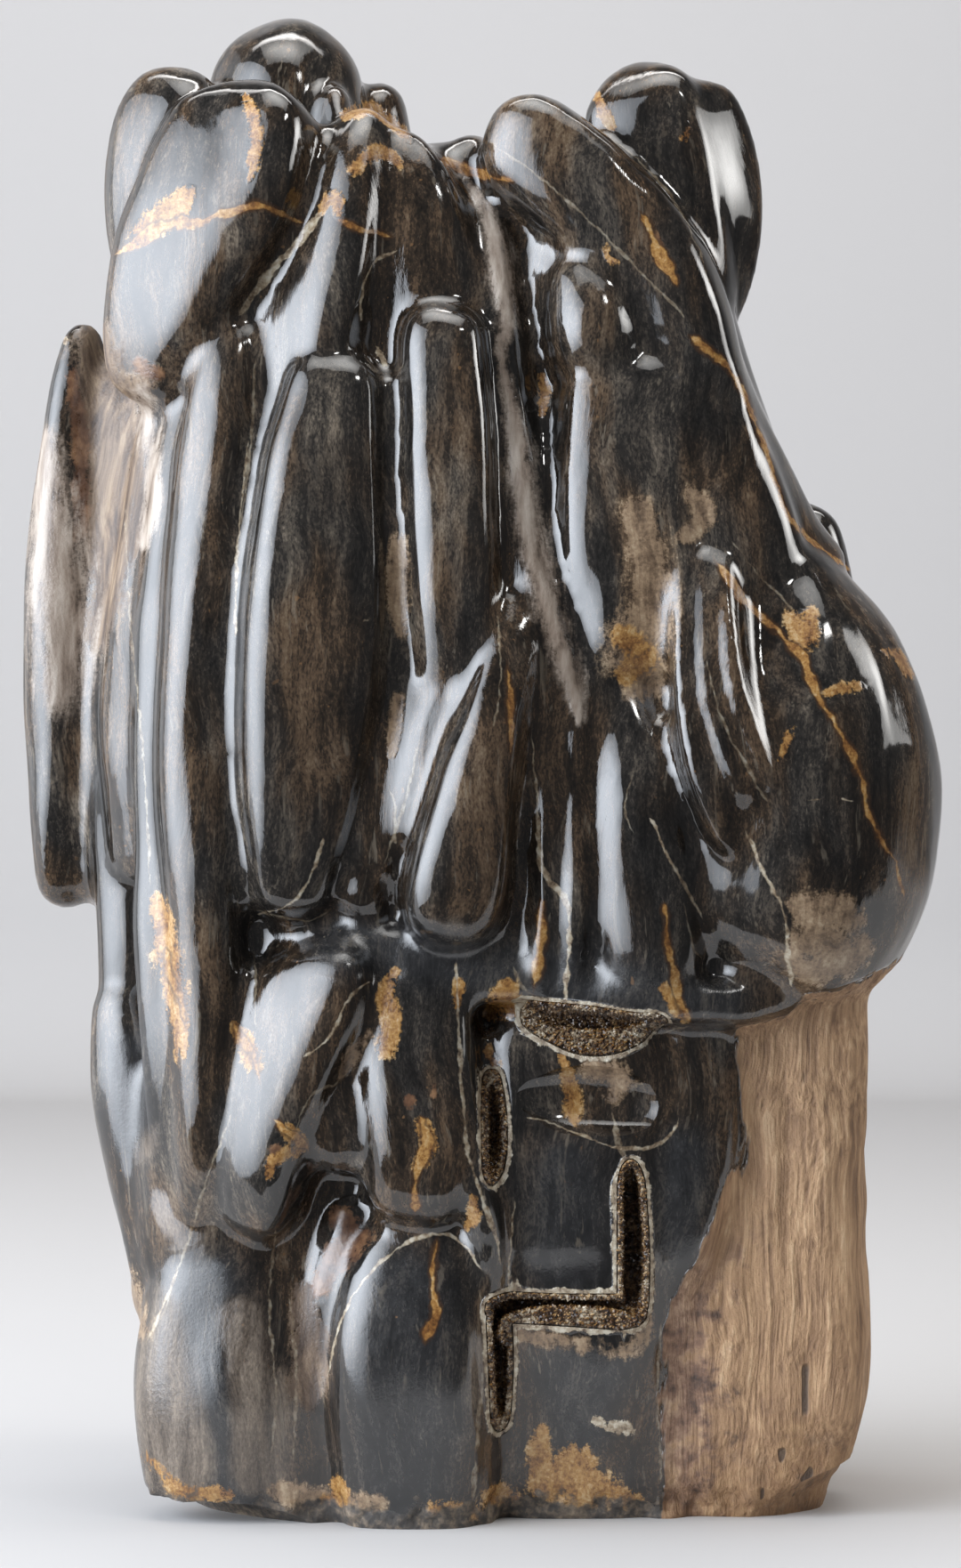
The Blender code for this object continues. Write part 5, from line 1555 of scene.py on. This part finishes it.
def stone_material():
    """Polished stone with seams and patches, broken at the foot, raw on the post."""
    material, tree, shader = new_material("stone")
    noises = stone_noises(tree)
    brown, grey, front = fields(tree, "tone")
    raw, rim, _ = fields(tree, "edges")
    worn = grey.step(0.15, 0.75)
    dust = brown.least(grey).step(0.05, 0.45)
    gold = weighted(noises, specks=0.35, lumps=0.35, streaks=0.30).ramp(GOLD_STOPS)
    cream = noises["crumbs"].ramp(CREAM_STOPS)
    colour = polished_ground(noises, brown, grey, dust)
    colour, dull, grains = with_patches(tree, noises, gold, cream, colour)
    colour, dull = with_seams(tree, noises, gold, cream, front, colour, dull)

    # The rims of the hollows, the broken foot and the raw wood
    scallops = weighted(noises, crumbs=0.5, lumps=0.5).centred(0.9)
    rim_mask = (rim + scallops).step(0.50, 0.62)
    colour = rim_mask.mixed(colour, cream)
    dull = dull.most(rim_mask * 0.4).most(ground_dullness(noises, worn, dust))
    broken_mask = (noises["height"] + noises["lumps"].centred(0.012)).step(*FOOT_BREAK)
    rubble = weighted(noises, crumbs=0.5, clouds=0.5)
    colour = broken_mask.mixed(colour, rubble.ramp(BROKEN_STOPS))
    wood, wood_relief = raw_wood(noises, raw)
    wander = noise_at(stretched(noises["place"], (1.0, 1.0, 0.3)), 130.0, 4.0).centred(7.0)
    raw_mask = (raw + wander).step(-0.4, 0.8)
    colour = raw_mask.mixed(colour, wood)
    gloss = dull + noises["clouds"].step(0.3, 0.7, 0.04, 0.10)
    rough = raw_mask.most(broken_mask).between(gloss, RAW_ROUGHNESS)
    relief = raw_mask.between(polish_relief(noises, grains, worn, dust, rim), wood_relief)
    bump = add(tree, "ShaderNodeBump",
               {"Height": relief, "Strength": 1.0, "Distance": RELIEF_HEIGHT})
    tree.links.new(colour.socket, shader.inputs["Base Color"])
    tree.links.new(rough.socket, shader.inputs["Roughness"])
    tree.links.new(bump.outputs["Normal"], shader.inputs["Normal"])
    shader.inputs["IOR"].default_value = STONE_IOR
    return material


def crystal_material():
    """Brown crystals, with painted top light in gold on upward faces near the mouth, and cream at the
    very mouth.
    """
    material, tree, shader = new_material("crystal")
    place = Value(add(tree, "ShaderNodeTexCoord").outputs["Object"])
    depth = Value(add(tree, "ShaderNodeAttribute", attribute_name="depth").outputs["Fac"])
    upward = split(Value(add(tree, "ShaderNodeNewGeometry").outputs["Normal"]))[2]
    grains = noise_at(place, 700.0, 2.0)
    # Painted light: faces turned up within about nine millimetres of the mouth are painted gold, as
    # if lit from above, while downward and deeper faces keep the dark crystal colour
    painted_top_light = upward.step(0.0, 0.8) * depth.step(9.0, 3.0)
    inner = painted_top_light.mixed(grains.ramp(CRYSTAL_STOPS), grains.ramp(GOLD_STOPS))
    wander = depth + noise_at(place, 160.0).centred(1.0)
    colour = wander.step(-0.15, 0.25).mixed(grains.ramp(CREAM_STOPS), inner)
    tree.links.new(colour.socket, shader.inputs["Base Color"])
    shader.inputs["Roughness"].default_value = CRYSTAL_ROUGHNESS
    shader.inputs["IOR"].default_value = CRYSTAL_IOR
    return material


def studio_material(name, colour):
    """Pale and matt, and see-through from its back, so that the wall hides nothing."""
    material, tree, shader = new_material(name)
    shader.inputs["Base Color"].default_value = colour
    shader.inputs["Roughness"].default_value = STUDIO_ROUGHNESS
    shader.inputs["Specular IOR Level"].default_value = 0.0
    back = Value(add(tree, "ShaderNodeNewGeometry").outputs["Backfacing"])
    tree.links.new((back * -1.0 + 1.0).socket, shader.inputs["Alpha"])
    return material


def studio_floor(collection):
    """Pale floor that turns up into a wall behind, in one sweep."""
    mesh = bmesh.new()
    profile = [(-STAGE_FRONT, 0.0)]
    for i in range(COVE_STEPS + 1):
        angle = math.pi / 2 * i / COVE_STEPS
        profile.append((WALL_DEPTH - COVE + COVE * math.sin(angle),
                        COVE - COVE * math.cos(angle)))
    profile.append((WALL_DEPTH, WALL_HEIGHT))
    rows = []
    for depth, height in profile:
        rows.append([mesh.verts.new((across, depth, height))
                     for across in (-STAGE_WIDTH / 2, STAGE_WIDTH / 2)])
    for lower, upper in zip(rows[:-1], rows[1:]):
        mesh.faces.new((lower[0], lower[1], upper[1], upper[0]))
    floor = object_from(mesh, "studio_floor", collection)
    for face in floor.data.polygons:
        face.use_smooth = True
    floor.data.materials.append(studio_material("studio", STUDIO_COLOUR))


def fade_edges(light):
    """Brighter in the middle of a panel than at its edges."""
    light.use_nodes = True
    tree = light.node_tree
    across = Value(add(tree, "ShaderNodeNewGeometry").outputs["Parametric"])
    away = Value(add(tree, "ShaderNodeVectorMath", {0: across, 1: (0.5, 0.5, 0.0)},
                     operation="DISTANCE").outputs["Value"])
    strength = away.step(*PANEL_FADE)
    tree.links.new(strength.socket, tree.nodes["Emission"].inputs["Strength"])


def area_light(name, place, target, size, power, colour):
    data = bpy.data.lights.new(name, "AREA")
    data.shape = "RECTANGLE"
    data.size = size[0]
    data.size_y = size[1]
    data.energy = power
    data.color = colour
    lamp = bpy.data.objects.new(name, data)
    lamp.location = place
    aim = Vector(target) - Vector(place)
    lamp.rotation_euler = aim.to_track_quat("-Z", "Y").to_euler()
    lamp.visible_camera = False
    bpy.context.scene.collection.objects.link(lamp)
    return data


def studio_lights():
    for name, place, target, size, power, colour in LIGHTS:
        fade_edges(area_light(name, place, target, size, power, colour))
    world = bpy.data.worlds.new("studio")
    world.use_nodes = True
    background = world.node_tree.nodes["Background"]
    background.inputs["Color"].default_value = WORLD_COLOUR
    background.inputs["Strength"].default_value = WORLD_STRENGTH
    bpy.context.scene.world = world
    bpy.context.scene.view_settings.view_transform = "Standard"


def studio_camera():
    data = bpy.data.cameras.new("camera")
    data.lens = LENS
    data.sensor_width = SENSOR
    data.sensor_fit = "AUTO"
    data.clip_end = 20.0
    camera = bpy.data.objects.new("camera", data)
    camera.location = (0.0, -CAMERA_DISTANCE, CAMERA_HEIGHT)
    camera.rotation_euler = (math.pi / 2, 0.0, 0.0)
    bpy.context.scene.collection.objects.link(camera)
    bpy.context.scene.camera = camera


def finish_piece(piece, node, material):
    piece.name = node + "_look"
    piece.data.materials.clear()
    piece.data.materials.append(material)
    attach(piece, "root")
    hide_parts(node)


def main():
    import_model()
    studio_camera()
    pieces = new_collection("pieces")
    cutters = new_collection("cutters")

    trunk = drawn_out_trunk(pieces, cutters)
    blank = trunk.copy()
    blank.data = trunk.data.copy()
    cutters.objects.link(blank)
    stone = stone_material()
    crystal = crystal_material()
    hollows = []
    for name, lobes in HOLLOWS.items():
        lining = crystal_crust(name, lobes, blank, pieces, cutters)
        finish_piece(lining, name, crystal)
        hollow = hollow_shape(name + "_hollow", lobes, cutters)
        boolean(trunk, hollow, "DIFFERENCE")
        hollows.append(hollow)
    keep_largest_shell(trunk)
    thin_out(trunk, TRIANGLE_BUDGET)
    mark_trunk(trunk, hollows)
    trunk.data.shade_smooth()
    trunk.data.set_sharp_from_angle(angle=math.radians(SHARP_ANGLE))
    finish_piece(trunk, "petrified_wood", stone)
    for cutter in list(cutters.objects):
        bpy.data.objects.remove(cutter, do_unlink=True)

    studio_floor(pieces)
    studio_lights()


main()
